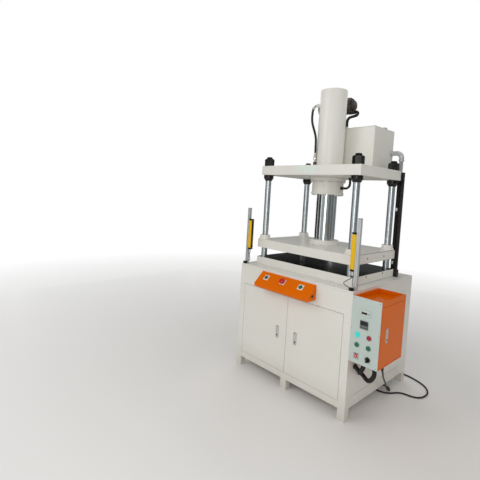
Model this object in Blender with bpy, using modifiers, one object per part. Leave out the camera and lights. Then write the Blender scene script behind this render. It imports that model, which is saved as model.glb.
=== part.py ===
"""Four-column hydraulic press on a sheet-steel cabinet.

The model is laid out in the machine's own coordinates: X = 0 on the press centre line, Y = 0 on the
cabinet's front, Z = 0 on the floor. The empty named press_frame then moves the origin to the middle
of the footprint. Front is -Y, the operator's right is +X. All sizes are in metres.
"""
import bpy
import bmesh
from math import cos, pi, radians, sin, sqrt
from mathutils import Matrix, Vector

# Fits
GAP = 0.0003            # between pieces that rest on each other
SLIDE_FIT = 0.0004      # radial play of a sliding or turning fit
THREAD_FIT = 0.0005     # radial play of a screwed or pressed-in piece

# Cabinet
CABINET_WIDTH = 0.980
CABINET_DEPTH = 0.870
CABINET_HEIGHT = 0.820
CABINET_SHEET = 0.002
CABINET_TOP_T = 0.012
LEG_HEIGHT = 0.075
LEG_SIZE = 0.050
BASE_RAIL_HEIGHT = 0.036
BASE_PAN_T = 0.002

# Front doors
DOOR_SIDE_MARGIN = 0.054
DOOR_BOTTOM = 0.120
DOOR_TOP_MARGIN = 0.155
DOOR_FOLD = 0.018
DOOR_SHEET = 0.0015
DOOR_PLAY = 0.0025
DOOR_FRAME_DEPTH = 0.022
HINGE_INSET = 0.004
HINGE_PIN_R = 0.0025
HINGE_PIN_LENGTH = 0.009

# Removable side panel under the control box
SIDE_PANEL_Y0 = 0.040
SIDE_PANEL_LENGTH = 0.700
SIDE_PANEL_Z0 = 0.143
SIDE_PANEL_BELOW_BOX = 0.0165
SIDE_PANEL_PLAY = 0.002

# Flush pull locks
LOCK_LENGTH = 0.090
LOCK_WIDTH = 0.028
LOCK_PROUD = 0.0015
LOCK_DEPTH = 0.016
LOCK_RIM = 0.003
LOCK_HANDLE_T = 0.0055
LOCK_SIDE_PLAY = 0.0004
LOCK_TOP_PLAY = 0.002
LOCK_PIVOT_DROP = 0.005
FRONT_LOCK_X = 0.081
FRONT_LOCK_BELOW_MIDDLE = 0.0015

# Press plates
PLATE_SIDE_MARGIN = 0.065
PLATE_DEPTH = 0.580
PLATE_FRONT = 0.100
PLATE_EDGE = 0.002
BOLSTER_T = 0.060
PLATEN_T = 0.065
CROWN_T = 0.070
REST_OPENING = 0.075
COLUMN_CLEAR_HEIGHT = 0.650
LIFT_HOLE_R = 0.006
LIFT_HOLE_DEPTH = 0.020
LIFT_HOLE_SPACING = 0.235
BOLSTER_LIFT_SHARE = 0.75

# Columns, nuts and collars
COLUMN_D = 0.045
COLUMN_INSET_X = 0.043
COLUMN_INSET_Y = 0.037
COLUMN_TIP = 0.012
COLUMN_CHAMFER = 0.004
NUT_FLATS = 0.075
NUT_HEIGHT = 0.058
NUT_CHAMFER = 0.014
FOOT_NUT_HEIGHT = 0.036
COLLAR_D = 0.076
COLLAR_STRAIGHT = 0.025
COLLAR_TAPER = 0.020

# Hydraulic cylinder
CYLINDER_D = 0.200
BORE_D = 0.160
CYLINDER_ABOVE_CROWN = 0.580
CYLINDER_CAP_T = 0.030
CYLINDER_TOP_CHAMFER = 0.006
MOUNT_FLANGE_D = 0.260
MOUNT_FLANGE_T = 0.030
GLAND_D = 0.232
GLAND_RIM_D = 0.242
GLAND_RIM_T = 0.014
GLAND_HEIGHT = 0.098
GLAND_SCREW_CIRCLE = 0.200
GLAND_SCREW_R = 0.0085
GLAND_SCREW_HEAD = 0.008
GLAND_SCREWS = 8
WIPER_GROOVE = 0.003

# Ram
RAM_D = 0.150
PISTON_T = 0.060
PISTON_ABOVE_GLAND = 0.121
PISTON_GROOVE = 0.006
PISTON_GROOVE_DEPTH = 0.003
RAM_RING_HEIGHT = 0.013
RAM_FOOT_D = 0.217
RAM_FOOT_T = 0.036

# Guide bushes and the trigger dog on the platen
BUSH_FLANGE_D = 0.090
BUSH_FLANGE_T = 0.012
BUSH_BODY_D = 0.078
BUSH_HEIGHT = 0.035
BUSH_SPIGOT_D = 0.060
BUSH_WIPER = 0.004
DOG_WIDTH = 0.016
DOG_REACH = 0.0080
DOG_HEIGHT = 0.030

# Oil tank and power pack
TANK_FROM_RIGHT_NUT = 0.0487
TANK_FROM_LEFT_NUT = 0.1487
TANK_DEPTH = 0.315
TANK_HEIGHT = 0.312
TANK_BEHIND_CYLINDER = 0.010
TANK_SHEET = 0.003
LID_T = 0.004
FILLER_FROM_RIGHT = 0.052
FILLER_FROM_REAR = 0.065
FILLER_R = 0.019
FILLER_HEIGHT = 0.026
SHAFT_ABOVE_LID = 0.199
SHAFT_BEHIND_CYLINDER = 0.130
MOTOR_R = 0.062
MOTOR_FIN = 0.009
MOTOR_FINS = 20
MOTOR_LENGTH = 0.165
MOTOR_FAN_COVER = 0.045
MOTOR_OVERHANG = 0.065
MOTOR_FOOT_DROP = 0.074
MOTOR_FOOT_WIDTH = 0.124
BELL_R = 0.056
BELL_LENGTH = 0.034
PUMP_R = 0.0645
PUMP_LENGTH = 0.084
PUMP_COVER_R = 0.037
PUMP_COVER_LENGTH = 0.020
BRACKET_SHEET = 0.006
BRACKET_FOOT = 0.030
BRACKET_LENGTH = 0.130

# Hoses
SUCTION_HOSE_R = 0.011
PRESSURE_HOSE_R = 0.0085
RETURN_HOSE_R = 0.0085
RISER_R = 0.012
RISER_BEND = 0.040
RISER_BELOW_LID = 0.171
RISER_FROM_REAR = 0.030
RISER_STAND_OFF = 0.083
HOSE_NUT_HEIGHT = 0.040
HOSE_FERRULE_LOW = 0.058
HOSE_FERRULE_HIGH = 0.110
HOSE_BEND_LOW = 0.150
HOSE_BEND_HIGH = 0.235
HOSE_STEP = 0.028
HOSE_ELBOW = 0.034
HOSE_FOOT_SHIFT = (0.021, 0.024)
RETURN_REACH = 0.070
PORT_BEARING = 213.58   # degrees anticlockwise from +X
PORT_BELOW_TOP = 0.108
PORT_BOSS_R = 0.014
PORT_BOSS_LENGTH = 0.012

# Limit-switch rail
RAIL_WIDTH = 0.044
RAIL_DEPTH = 0.022
RAIL_WALL = 0.005
RAIL_SLOT = 0.008
RAIL_INSET = 0.029
RAIL_STAND_OFF = 0.012
RAIL_TOP_BELOW_CROWN_TOP = 0.008
RAIL_FOOT_HEIGHT = 0.052
RAIL_FOOT_EXTRA = 0.006
SENSOR_WIDTH = 0.018
SENSOR_PROUD = 0.003
SENSOR_HEIGHT = 0.024
SENSORS_ABOVE_TABLE = (0.103, 0.498)

# Light-curtain posts and bars
POST_SIZE = 0.022
POST_HEIGHT = 0.440
POST_FROM_FRONT = 0.033
POST_SLOT = 0.006
POST_SLOT_DEPTH = 0.0045
CURTAIN_WIDTH = 0.028
CURTAIN_DEPTH = 0.030
CURTAIN_LENGTH = 0.241
CURTAIN_ABOVE_TOP = 0.114
CURTAIN_CAP = 0.012
CURTAIN_CAP_SHRINK = 0.0015
CURTAIN_WINDOW = 0.012
CURTAIN_WINDOW_DEPTH = 0.0015
PLUG_R = 0.0065
PLUG_LENGTH = 0.030
LEAD_R = 0.0022
LEAD_BLOCK = 0.024
LEAD_BLOCK_HEIGHT = 0.018

# Two-hand console
CONSOLE_WIDTH = 0.482
CONSOLE_CENTRE = -0.014
CONSOLE_BELOW_TABLE = 0.018
CONSOLE_DEPTH = 0.088
CONSOLE_DROP = 0.080
CONSOLE_LIP = 0.022
CONSOLE_SHEET = 0.002
CONSOLE_BUTTON_INSET = 0.0855
CONSOLE_SHIFT = -0.014
CONSOLE_ALONG_SLOPE = 0.050

# Control box
BOX_WIDTH = 0.1824
BOX_DEPTH = 0.317
BOX_HEIGHT = 0.401
BOX_BELOW_TABLE = 0.0195
BOX_SHEET = 0.002
TRAY_RIM = 0.014
TRAY_DEPTH = 0.030
PANEL_T = 0.003
PANEL_MARGIN = 0.012
BOX_DOOR_MARGIN = 0.012
BOX_DOOR_TOP_MARGIN = 0.034
BOX_DOOR_FOLD = 0.012
BOX_DOOR_PLAY = 0.002
SIDE_LOCK_FROM_FRONT = 0.088
SIDE_LOCK_ABOVE_BOTTOM = 0.1905
COUNTER_FROM_LEFT = 0.0852
COUNTER_ABOVE_BOTTOM = 0.3135
COUNTER_SIZE = (0.072, 0.036)
TIMER_ABOVE_BOTTOM = 0.2425
TIMER_SIZE = (0.048, 0.048)
INSTRUMENT_PROUD = 0.005
COLUMNS_FROM_LEFT = (0.0477, 0.1207)
ROWS_ABOVE_BOTTOM = (0.1745, 0.1135, 0.0455)
BEZEL_R = 0.0148
BEZEL_PROUD = 0.0045
CAP_R = 0.0118
CAP_PROUD = 0.004
CAP_STEM = 0.012
CAP_CHAMFER = 0.0015
BUTTON_TRAVEL = 0.004
MUSHROOM_R = 0.021
MUSHROOM_H = 0.016
MUSHROOM_STEM_R = 0.009
KNOB_R = 0.0125
KNOB_GRIP = 0.012
KNOB_GRIP_WIDTH = 0.007
ROCKER_SIZE = (0.019, 0.025)
ROCKER_FRAME = 0.003
ROCKER_T = 0.008

# Wiring under the control box: name, X from the box's left side, Y, drop, and shift to the rear
CONDUIT_R = 0.0135
CONDUITS = (
    ("box_conduit_front", 0.0697, 0.060, 0.062, 0.020),
    ("box_conduit_rear", 0.1247, 0.090, 0.118, 0.050),
)

# Power cable: its points are chosen by hand, X from the cabinet's right side
CABLE_R = 0.0055
CABLE_ROUTE = (
    (0.1550, 0.1280, 0.3772), (0.1550, 0.1280, 0.3700), (0.1549, 0.1305, 0.3585),
    (0.1535, 0.1385, 0.3455), (0.1480, 0.1570, 0.3280), (0.1330, 0.1950, 0.3005),
    (0.1120, 0.2520, 0.2580), (0.0890, 0.3250, 0.2030), (0.0610, 0.4140, 0.1360),
    (0.0360, 0.4870, 0.0800), (0.0205, 0.5380, 0.0420), (0.0125, 0.5800, 0.0180),
    (0.0085, 0.6075, 0.0085), (-0.0044, 0.6296, 0.0060), (-0.0248, 0.6426, 0.0060),
    (-0.0489, 0.6458, 0.0060), (-0.0720, 0.6385, 0.0060), (-0.0899, 0.6221, 0.0060),
    (-0.0991, 0.5997, 0.0060), (-0.0981, 0.5755, 0.0060), (-0.0869, 0.5540, 0.0060),
    (-0.0677, 0.5392, 0.0060), (-0.0440, 0.5340, 0.0060), (-0.0230, 0.5381, 0.0060),
    (-0.0015, 0.5455, 0.0060), (0.0175, 0.5600, 0.0060), (0.0335, 0.5795, 0.0060),
    (0.0465, 0.6020, 0.0060), (0.0620, 0.6250, 0.0060), (0.0840, 0.6425, 0.0060),
    (0.1100, 0.6505, 0.0060), (0.1390, 0.6545, 0.0060), (0.1660, 0.6655, 0.0060),
    (0.1890, 0.6900, 0.0060), (0.2030, 0.7300, 0.0060), (0.2050, 0.7750, 0.0060),
    (0.1930, 0.8220, 0.0060), (0.1660, 0.8670, 0.0060), (0.1180, 0.9060, 0.0060),
    (0.0600, 0.9310, 0.0060), (0.0000, 0.9445, 0.0060),
)
CABLE_GLAND_R = 0.011
CABLE_GLAND_LENGTH = 0.022
COIL_R = 0.062
COIL_SECTION_W = 0.026
COIL_SECTION_H = 0.024
COIL_FROM_RIGHT = 0.195
COIL_Y = 1.015
COIL_LEAD_OUTSIDE = 0.0058
POWER_PLUG_R = 0.021
POWER_PLUG_LENGTH = 0.075

# Facets
FINE = 32
ROUND = 20
SMALL = 12
BUTTON_SIDES = 16
BEND_SIDES = 2

# Worked-out places
SIDE = CABINET_WIDTH / 2
DOOR_PAIR_WIDTH = CABINET_WIDTH - 2 * DOOR_SIDE_MARGIN
DOOR_HEIGHT = CABINET_HEIGHT - DOOR_BOTTOM - DOOR_TOP_MARGIN
FRONT_LOCK_Z = DOOR_BOTTOM + DOOR_HEIGHT / 2 - FRONT_LOCK_BELOW_MIDDLE
PLATE_BACK = PLATE_FRONT + PLATE_DEPTH
PLATE_RIGHT = SIDE - PLATE_SIDE_MARGIN
CENTRE_Y = PLATE_FRONT + PLATE_DEPTH / 2
BOLSTER_TOP = CABINET_HEIGHT + BOLSTER_T
PLATEN_BOTTOM = BOLSTER_TOP + REST_OPENING
PLATEN_TOP = PLATEN_BOTTOM + PLATEN_T
CROWN_BOTTOM = BOLSTER_TOP + COLUMN_CLEAR_HEIGHT
CROWN_TOP = CROWN_BOTTOM + CROWN_T
COLUMN_X = PLATE_RIGHT - COLUMN_INSET_X
COLUMN_Y = PLATE_DEPTH / 2 - COLUMN_INSET_Y
COLUMN_HOLE_R = COLUMN_D / 2 + THREAD_FIT
FLANGE_BOTTOM = CROWN_BOTTOM - GAP - MOUNT_FLANGE_T
GLAND_TOP = FLANGE_BOTTOM - GAP
GLAND_BOTTOM = GLAND_TOP - GLAND_HEIGHT
CYLINDER_TOP = CROWN_TOP + CYLINDER_ABOVE_CROWN
PORT_Z = CYLINDER_TOP - PORT_BELOW_TOP
PORT_DIRECTION = Vector((cos(radians(PORT_BEARING)), sin(radians(PORT_BEARING)), 0.0))
PISTON_BOTTOM = GLAND_TOP + PISTON_ABOVE_GLAND
TANK_FRONT = CENTRE_Y + CYLINDER_D / 2 + TANK_BEHIND_CYLINDER
TANK_BACK = TANK_FRONT + TANK_DEPTH
NUT_SIDE = COLUMN_X - NUT_FLATS / sqrt(3.0)
TANK_RIGHT = NUT_SIDE - TANK_FROM_RIGHT_NUT
TANK_LEFT = TANK_FROM_LEFT_NUT - NUT_SIDE
MOTOR_LEFT = TANK_LEFT - MOTOR_OVERHANG
TANK_BOTTOM = CROWN_TOP + GAP
TANK_TOP = TANK_BOTTOM + TANK_HEIGHT
LID_TOP = TANK_TOP + GAP + LID_T
SHAFT_Z = LID_TOP + SHAFT_ABOVE_LID
SHAFT_Y = CENTRE_Y + CYLINDER_D / 2 + SHAFT_BEHIND_CYLINDER
BOX_LEFT = SIDE + GAP
BOX_RIGHT = BOX_LEFT + BOX_WIDTH
BOX_FRONT = PANEL_T + GAP
BOX_BACK = BOX_FRONT + BOX_DEPTH
BOX_TOP = CABINET_HEIGHT - BOX_BELOW_TABLE
BOX_BOTTOM = BOX_TOP - BOX_HEIGHT
SIDE_PANEL_HEIGHT = BOX_BOTTOM - SIDE_PANEL_BELOW_BOX - SIDE_PANEL_Z0
BUTTON_COLUMNS = [BOX_LEFT + across for across in COLUMNS_FROM_LEFT]
BUTTON_ROWS = [BOX_BOTTOM + height for height in ROWS_ABOVE_BOTTOM]
CONSOLE_TOP = CABINET_HEIGHT - CONSOLE_BELOW_TABLE
CONSOLE_SPACING = CONSOLE_WIDTH - 2 * CONSOLE_BUTTON_INSET
CONSOLE_SLOPE = Vector((0.0, -CONSOLE_DEPTH, -CONSOLE_DROP)).normalized()
CONSOLE_NORMAL = Vector((0.0, -CONSOLE_DROP, CONSOLE_DEPTH)).normalized()
FRAME_X = (BOX_RIGHT + LOCK_PROUD - SIDE) / 2
FRAME_Y = (CABINET_DEPTH - CONSOLE_DEPTH) / 2

CORNERS = {
    "front_left": (-1, -1),
    "front_right": (1, -1),
    "rear_left": (-1, 1),
    "rear_right": (1, 1),
}


def clear_scene():
    """Remove the objects, collections and loose data of the open scene."""
    for item in list(bpy.data.objects):
        bpy.data.objects.remove(item, do_unlink=True)
    for group in list(bpy.data.collections):
        bpy.data.collections.remove(group)


clear_scene()
PARTS = bpy.data.collections.new("hydraulic_press")
CUTTERS = bpy.data.collections.new("cutters")
bpy.context.scene.collection.children.link(PARTS)
bpy.context.scene.collection.children.link(CUTTERS)
ORIGIN = bpy.data.objects.new("press_frame", None)
ORIGIN.location = (-FRAME_X, -FRAME_Y, 0.0)
PARTS.objects.link(ORIGIN)


def paint(name, colour, roughness, metallic=0.0):
    """A Principled material in one colour."""
    material = bpy.data.materials.new(name)
    material.use_nodes = True
    shader = material.node_tree.nodes["Principled BSDF"]
    shader.inputs["Base Color"].default_value = (*colour, 1.0)
    shader.inputs["Roughness"].default_value = roughness
    shader.inputs["Metallic"].default_value = metallic
    return material


WHITE = paint("warm_white_enamel", (0.76, 0.74, 0.69), 0.4)
ORANGE = paint("orange_enamel", (0.80, 0.16, 0.005), 0.4)
CHROME = paint("hard_chrome", (0.75, 0.76, 0.77), 0.1, 1.0)
BLACK_OXIDE = paint("black_oxide_steel", (0.012, 0.012, 0.012), 0.4, 0.6)
BLACK_PAINT = paint("black_enamel", (0.02, 0.02, 0.02), 0.45)
RUBBER = paint("black_rubber", (0.012, 0.012, 0.013), 0.6)
ALUMINIUM = paint("anodised_aluminium", (0.62, 0.64, 0.64), 0.35, 1.0)
ZINC = paint("zinc_plated_steel", (0.55, 0.55, 0.52), 0.35, 1.0)
CAST_WHITE = paint("cast_iron_painted_white", (0.72, 0.71, 0.66), 0.45)
YELLOW = paint("yellow_enamel", (0.77, 0.48, 0.01), 0.4)
PANEL_GREY = paint("pale_grey_panel", (0.55, 0.63, 0.60), 0.35)
GREEN = paint("green_abs", (0.01, 0.20, 0.11), 0.35)
RED = paint("red_abs", (0.60, 0.01, 0.02), 0.35)
CYAN = paint("cyan_lamp_lens", (0.03, 0.75, 0.62), 0.25)
BLACK_ABS = paint("black_abs", (0.015, 0.015, 0.015), 0.4)


def joint_empty(name, at):
    """An empty on a joint's axis, which carries the pieces that move with it."""
    empty = bpy.data.objects.new(name, None)
    empty.location = at
    empty.parent = ORIGIN
    empty["at"] = tuple(at)
    PARTS.objects.link(empty)
    return empty


def place(name, bm, material, at=(0.0, 0.0, 0.0), carrier=None):
    """Turn a bmesh drawn in machine coordinates into an object with its origin at the given point."""
    bmesh.ops.translate(bm, verts=bm.verts, vec=-Vector(at))
    mesh = bpy.data.meshes.new(name)
    bm.to_mesh(mesh)
    bm.free()
    item = bpy.data.objects.new(name, mesh)
    offset = Vector(at)
    if carrier is not None:
        offset -= Vector(carrier["at"])
    item.location = offset
    item.parent = carrier or ORIGIN
    if material is None:
        CUTTERS.objects.link(item)
        item.hide_render = True
        item.display_type = "WIRE"
    else:
        mesh.materials.append(material)
        PARTS.objects.link(item)
    return item


def block(bm, low, high):
    """A box between two corners."""
    low = Vector(low)
    high = Vector(high)
    made = bmesh.ops.create_cube(bm, size=1.0)["verts"]
    bmesh.ops.scale(bm, verts=made, vec=high - low)
    bmesh.ops.translate(bm, verts=made, vec=(low + high) / 2)
    return made


def rod(bm, radius, start, end, sides=ROUND, end_radius=None):
    """A cylinder or cone from one point to another."""
    start = Vector(start)
    end = Vector(end)
    length = (end - start).length
    turn = Vector((0.0, 0.0, 1.0)).rotation_difference(end - start).to_matrix().to_4x4()
    matrix = Matrix.Translation((start + end) / 2) @ turn
    tip = radius if end_radius is None else end_radius
    return bmesh.ops.create_cone(
        bm, cap_ends=True, segments=sides, radius1=radius, radius2=tip, depth=length, matrix=matrix
    )["verts"]


def box(name, low, high, material, at=(0.0, 0.0, 0.0), carrier=None):
    bm = bmesh.new()
    block(bm, low, high)
    return place(name, bm, material, at, carrier)


def cylinder(name, radius, start, end, material, at=(0.0, 0.0, 0.0), carrier=None, sides=ROUND):
    bm = bmesh.new()
    rod(bm, radius, start, end, sides)
    return place(name, bm, material, at, carrier)


def soften(item, width, segments=1):
    """Round the sharp edges of a piece."""
    bevel = item.modifiers.new("edge", "BEVEL")
    bevel.width = width
    bevel.segments = segments
    bevel.limit_method = "ANGLE"
    bevel.angle_limit = radians(40)
    return item


def combine(item, other, operation):
    step = item.modifiers.new(operation.lower(), "BOOLEAN")
    step.operation = operation
    step.solver = "EXACT"
    step.object = other
    return item


def cut(item, *others):
    for other in others:
        combine(item, other, "DIFFERENCE")
    return item


def fuse(item, *others):
    for other in others:
        combine(item, other, "UNION")
    return item


def turned(name, profile, material, at, sides=ROUND, carrier=None, ring=False, axis="Z"):
    """A turned piece: radius and height pairs, down the outer side first, about an axis at a point.

    A solid's profile starts and ends on the axis; a ring's closes on itself.
    """
    bm = bmesh.new()
    points = [bm.verts.new((radius, 0.0, height)) for radius, height in profile]
    for first, second in zip(points, points[1:]):
        bm.edges.new((first, second))
    if ring:
        bm.edges.new((points[-1], points[0]))
    mesh = bpy.data.meshes.new(name)
    bm.to_mesh(mesh)
    bm.free()
    item = bpy.data.objects.new(name, mesh)
    offset = Vector(at)
    if carrier is not None:
        offset -= Vector(carrier["at"])
    item.location = offset
    item.parent = carrier or ORIGIN
    if axis == "X":
        item.rotation_euler = (0.0, pi / 2, 0.0)
    elif axis == "-Y":
        item.rotation_euler = (pi / 2, 0.0, 0.0)
    elif axis != "Z":
        item.rotation_mode = "QUATERNION"
        item.rotation_quaternion = Vector((0.0, 0.0, 1.0)).rotation_difference(Vector(axis))
    screw = item.modifiers.new("turn", "SCREW")
    screw.steps = sides
    screw.render_steps = sides
    screw.use_merge_vertices = True
    screw.merge_threshold = 0.0001
    screw.use_smooth_shade = True
    if material is None:
        CUTTERS.objects.link(item)
        item.hide_render = True
        item.display_type = "WIRE"
    else:
        mesh.materials.append(material)
        PARTS.objects.link(item)
    return item


def pan(name, low, high, open_side, sheet, material, at=(0.0, 0.0, 0.0), carrier=None):
    """A folded sheet tray: a box without the face that looks along open_side, walls inside the box."""
    bm = bmesh.new()
    block(bm, low, high)
    bm.normal_update()
    gone = [face for face in bm.faces if face.normal.dot(Vector(open_side)) > 0.9]
    bmesh.ops.delete(bm, geom=gone, context="FACES_ONLY")
    item = place(name, bm, material, at, carrier)
    wall = item.modifiers.new("sheet", "SOLIDIFY")
    wall.thickness = sheet
    wall.offset = -1.0
    wall.use_even_offset = True
    return item


def smooth_route(points, spacing):
    """Points at even spacing along a smooth curve through the given points, with square-cut ends."""
    points = [Vector(point) for point in points]
    stub = spacing / 5
    first_stub = points[0] + (points[1] - points[0]).normalized() * stub
    last_stub = points[-1] + (points[-2] - points[-1]).normalized() * stub
    ends = [points[0] * 2 - points[1]] + points + [points[-1] * 2 - points[-2]]
    dense = []
    for before, start, end, after in zip(ends, ends[1:], ends[2:], ends[3:]):
        for step in range(12):
            t = step / 12
            dense.append(0.5 * (
                start * 2 + (end - before) * t
                + (before * 2 - start * 5 + end * 4 - after) * t ** 2
                + (start * 3 - before - end * 3 + after) * t ** 3
            ))
    dense.append(points[-1])
    lengths = [0.0]
    for first, second in zip(dense, dense[1:]):
        lengths.append(lengths[-1] + (second - first).length)
    count = max(3, round(lengths[-1] / spacing))
    route = []
    index = 0
    for number in range(count + 1):
        target = lengths[-1] * number / count
        while index < len(dense) - 2 and lengths[index + 1] < target:
            index += 1
        span = lengths[index + 1] - lengths[index]
        share = (target - lengths[index]) / span if span else 0.0
        route.append(dense[index].lerp(dense[index + 1], min(share, 1.0)))
    return [route[0], first_stub] + route[1:-1] + [last_stub, route[-1]]


def tube(name, points, radius, material, widths=None, sides_level=BEND_SIDES):
    """A round tube along points, made a closed mesh; widths are each point's share of the radius."""
    curve = bpy.data.curves.new(name, "CURVE")
    curve.dimensions = "3D"
    curve.bevel_depth = radius
    curve.bevel_resolution = sides_level
    curve.use_fill_caps = True
    spline = curve.splines.new("POLY")
    spline.points.add(len(points) - 1)
    for number, point in enumerate(points):
        spline.points[number].co = (*point, 1.0)
        spline.points[number].radius = 1.0 if widths is None else widths[number]
    guide = bpy.data.objects.new(name + "_guide", curve)
    PARTS.objects.link(guide)
    bpy.context.view_layer.update()
    shape = bpy.data.meshes.new_from_object(guide.evaluated_get(bpy.context.evaluated_depsgraph_get()))
    bpy.data.objects.remove(guide, do_unlink=True)
    bm = bmesh.new()
    bm.from_mesh(shape)
    bpy.data.meshes.remove(shape)
    bmesh.ops.remove_doubles(bm, verts=bm.verts, dist=0.00001)
    bmesh.ops.recalc_face_normals(bm, faces=bm.faces)
    item = place(name, bm, material)
    item.data.shade_smooth()
    return item


def stepped(stations):
    """Points and widths of a tube whose thickness changes in steps: (point, width) pairs."""
    points = []
    widths = []
    for (first, width), (second, _) in zip(stations, stations[1:]):
        first = Vector(first)
        second = Vector(second)
        push = (second - first).normalized() * 0.0002
        points += [first + push, second - push]
        widths += [width, width]
    return points, widths


def column_at(corner):
    side, end = CORNERS[corner]
    return side * COLUMN_X, CENTRE_Y + end * COLUMN_Y


def column_cutters(label, radius, low, high):
    """Four rods on the column axes, as one cutter."""
    bm = bmesh.new()
    for corner in CORNERS:
        x, y = column_at(corner)
        rod(bm, radius, (x, y, low), (x, y, high))
    return place(label, bm, None)


def cabinet():
    """Welded shell with the door opening, top plate, base frame on five legs and a side panel."""
    half = SIDE
    shell_top = CABINET_HEIGHT - CABINET_TOP_T - GAP
    bm = bmesh.new()
    block(bm, (-half, 0.0, LEG_HEIGHT), (half, CABINET_DEPTH, shell_top))
    bm.normal_update()
    gone = [face for face in bm.faces if abs(face.normal.z) > 0.9]
    bmesh.ops.delete(bm, geom=gone, context="FACES_ONLY")
    shell = place("cabinet_shell", bm, WHITE)
    wall = shell.modifiers.new("sheet", "SOLIDIFY")
    wall.thickness = CABINET_SHEET
    wall.offset = -1.0
    wall.use_even_offset = True

    reach = DOOR_PAIR_WIDTH / 2 + DOOR_PLAY
    low = DOOR_BOTTOM - DOOR_PLAY
    high = DOOR_BOTTOM + DOOR_HEIGHT + DOOR_PLAY
    rim = CABINET_SHEET
    frame = box(
        "door_frame", (-reach - rim, CABINET_SHEET / 2, low - rim),
        (reach + rim, DOOR_FRAME_DEPTH, high + rim), None
    )
    opening = box(
        "door_opening", (-reach, -DOOR_FOLD, low), (reach, DOOR_FRAME_DEPTH + DOOR_FOLD, high), None
    )
    pins = bmesh.new()
    for side in (-1, 1):
        x = side * (DOOR_PAIR_WIDTH / 2 - HINGE_INSET)
        for z in (low, high):
            rod(
                pins, HINGE_PIN_R + SLIDE_FIT, (x, HINGE_INSET, z - HINGE_PIN_LENGTH),
                (x, HINGE_INSET, z + HINGE_PIN_LENGTH), SMALL
            )
    side_hole = box(
        "side_panel_opening", (half - 5 * CABINET_SHEET, SIDE_PANEL_Y0, SIDE_PANEL_Z0),
        (half + CABINET_SHEET, SIDE_PANEL_Y0 + SIDE_PANEL_LENGTH, SIDE_PANEL_Z0 + SIDE_PANEL_HEIGHT), None
    )
    fuse(shell, frame)
    cut(shell, opening, place("door_pin_holes", pins, None), side_hole)

    play = SIDE_PANEL_PLAY
    panel = pan(
        "side_panel", (half - DOOR_FOLD, SIDE_PANEL_Y0 + play, SIDE_PANEL_Z0 + play),
        (half, SIDE_PANEL_Y0 + SIDE_PANEL_LENGTH - play, SIDE_PANEL_Z0 + SIDE_PANEL_HEIGHT - play),
        (-1, 0, 0), DOOR_SHEET, WHITE
    )
    ledge = bmesh.new()
    tab = 0.012
    inner = half - CABINET_SHEET - GAP
    for y0, y1 in (
        (SIDE_PANEL_Y0 - tab, SIDE_PANEL_Y0 + play + DOOR_SHEET),
        (SIDE_PANEL_Y0 + SIDE_PANEL_LENGTH - play - DOOR_SHEET, SIDE_PANEL_Y0 + SIDE_PANEL_LENGTH + tab),
    ):
        block(ledge, (inner - DOOR_SHEET, y0, SIDE_PANEL_Z0 + 2 * tab), (inner, y1, SIDE_PANEL_Z0 + 5 * tab))
    fuse(panel, place("side_panel_tabs", ledge, None))

    top = box(
        "cabinet_top", (-half, 0.0, CABINET_HEIGHT - CABINET_TOP_T),
        (half, CABINET_DEPTH, CABINET_HEIGHT), WHITE
    )
    soften(top, 0.0015)
    cut(top, column_cutters(
        "top_plate_holes", COLUMN_HOLE_R, CABINET_HEIGHT - 2 * CABINET_TOP_T, CABINET_HEIGHT + CABINET_TOP_T
    ))

    inset = CABINET_SHEET + GAP
    rail_low = LEG_HEIGHT - 0.004
    rail_high = LEG_HEIGHT + BASE_RAIL_HEIGHT - 0.004
    base = box(
        "base_frame", (-half + inset, inset, rail_low),
        (half - inset, CABINET_DEPTH - inset, rail_high), WHITE
    )
    hollow = box(
        "base_hollow", (-half + LEG_SIZE, LEG_SIZE, rail_low + BASE_PAN_T),
        (half - LEG_SIZE, CABINET_DEPTH - LEG_SIZE, rail_high + LEG_SIZE), None
    )
    legs = bmesh.new()
    for x, y in (
        (-half, 0.0), (half - LEG_SIZE, 0.0), (-LEG_SIZE / 2, 0.0),
        (-half, CABINET_DEPTH - LEG_SIZE), (half - LEG_SIZE, CABINET_DEPTH - LEG_SIZE),
    ):
        block(legs, (x, y, 0.0), (x + LEG_SIZE, y + LEG_SIZE, LEG_HEIGHT - GAP))
    cut(base, hollow)
    fuse(base, place("base_legs", legs, None))


def lock_housing(item, centre, face, label):
    """Fuse a flush lock's dish into a sheet: centre on the sheet's face, face its outward normal."""
    face = Vector(face)
    across = Vector((abs(face.y), abs(face.x), 0.0))
    up = Vector((0.0, 0.0, 1.0))
    half = across * (LOCK_WIDTH / 2) + up * (LOCK_LENGTH / 2)
    outer = bmesh.new()
    ends = (centre - half - face * LOCK_DEPTH, centre + half + face * LOCK_PROUD)
    low = [min(pair) for pair in zip(*ends)]
    high = [max(pair) for pair in zip(*ends)]
    block(outer, low, high)
    upright = [
        edge for edge in outer.edges
        if abs((edge.verts[0].co - edge.verts[1].co).normalized().dot(face)) > 0.9
    ]
    bmesh.ops.bevel(
        outer, geom=upright, offset=LOCK_WIDTH * 0.35, segments=3, profile=0.5, affect="EDGES", material=-1
    )
    inner_half = half - across * LOCK_RIM - up * LOCK_RIM
    ends = (centre - inner_half - face * (LOCK_DEPTH - LOCK_RIM), centre + inner_half + face * LOCK_DEPTH)
    low = [min(pair) for pair in zip(*ends)]
    high = [max(pair) for pair in zip(*ends)]
    pocket = box(label + "_pocket", low, high, None, item.location + (
        Vector(item.parent["at"]) if "at" in item.parent else Vector()
    ), item.parent if "at" in item.parent else None)
    dish = place(label + "_dish", outer, None, item.location + (
        Vector(item.parent["at"]) if "at" in item.parent else Vector()
    ), item.parent if "at" in item.parent else None)
    fuse(item, dish)
    cut(item, pocket)


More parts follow.
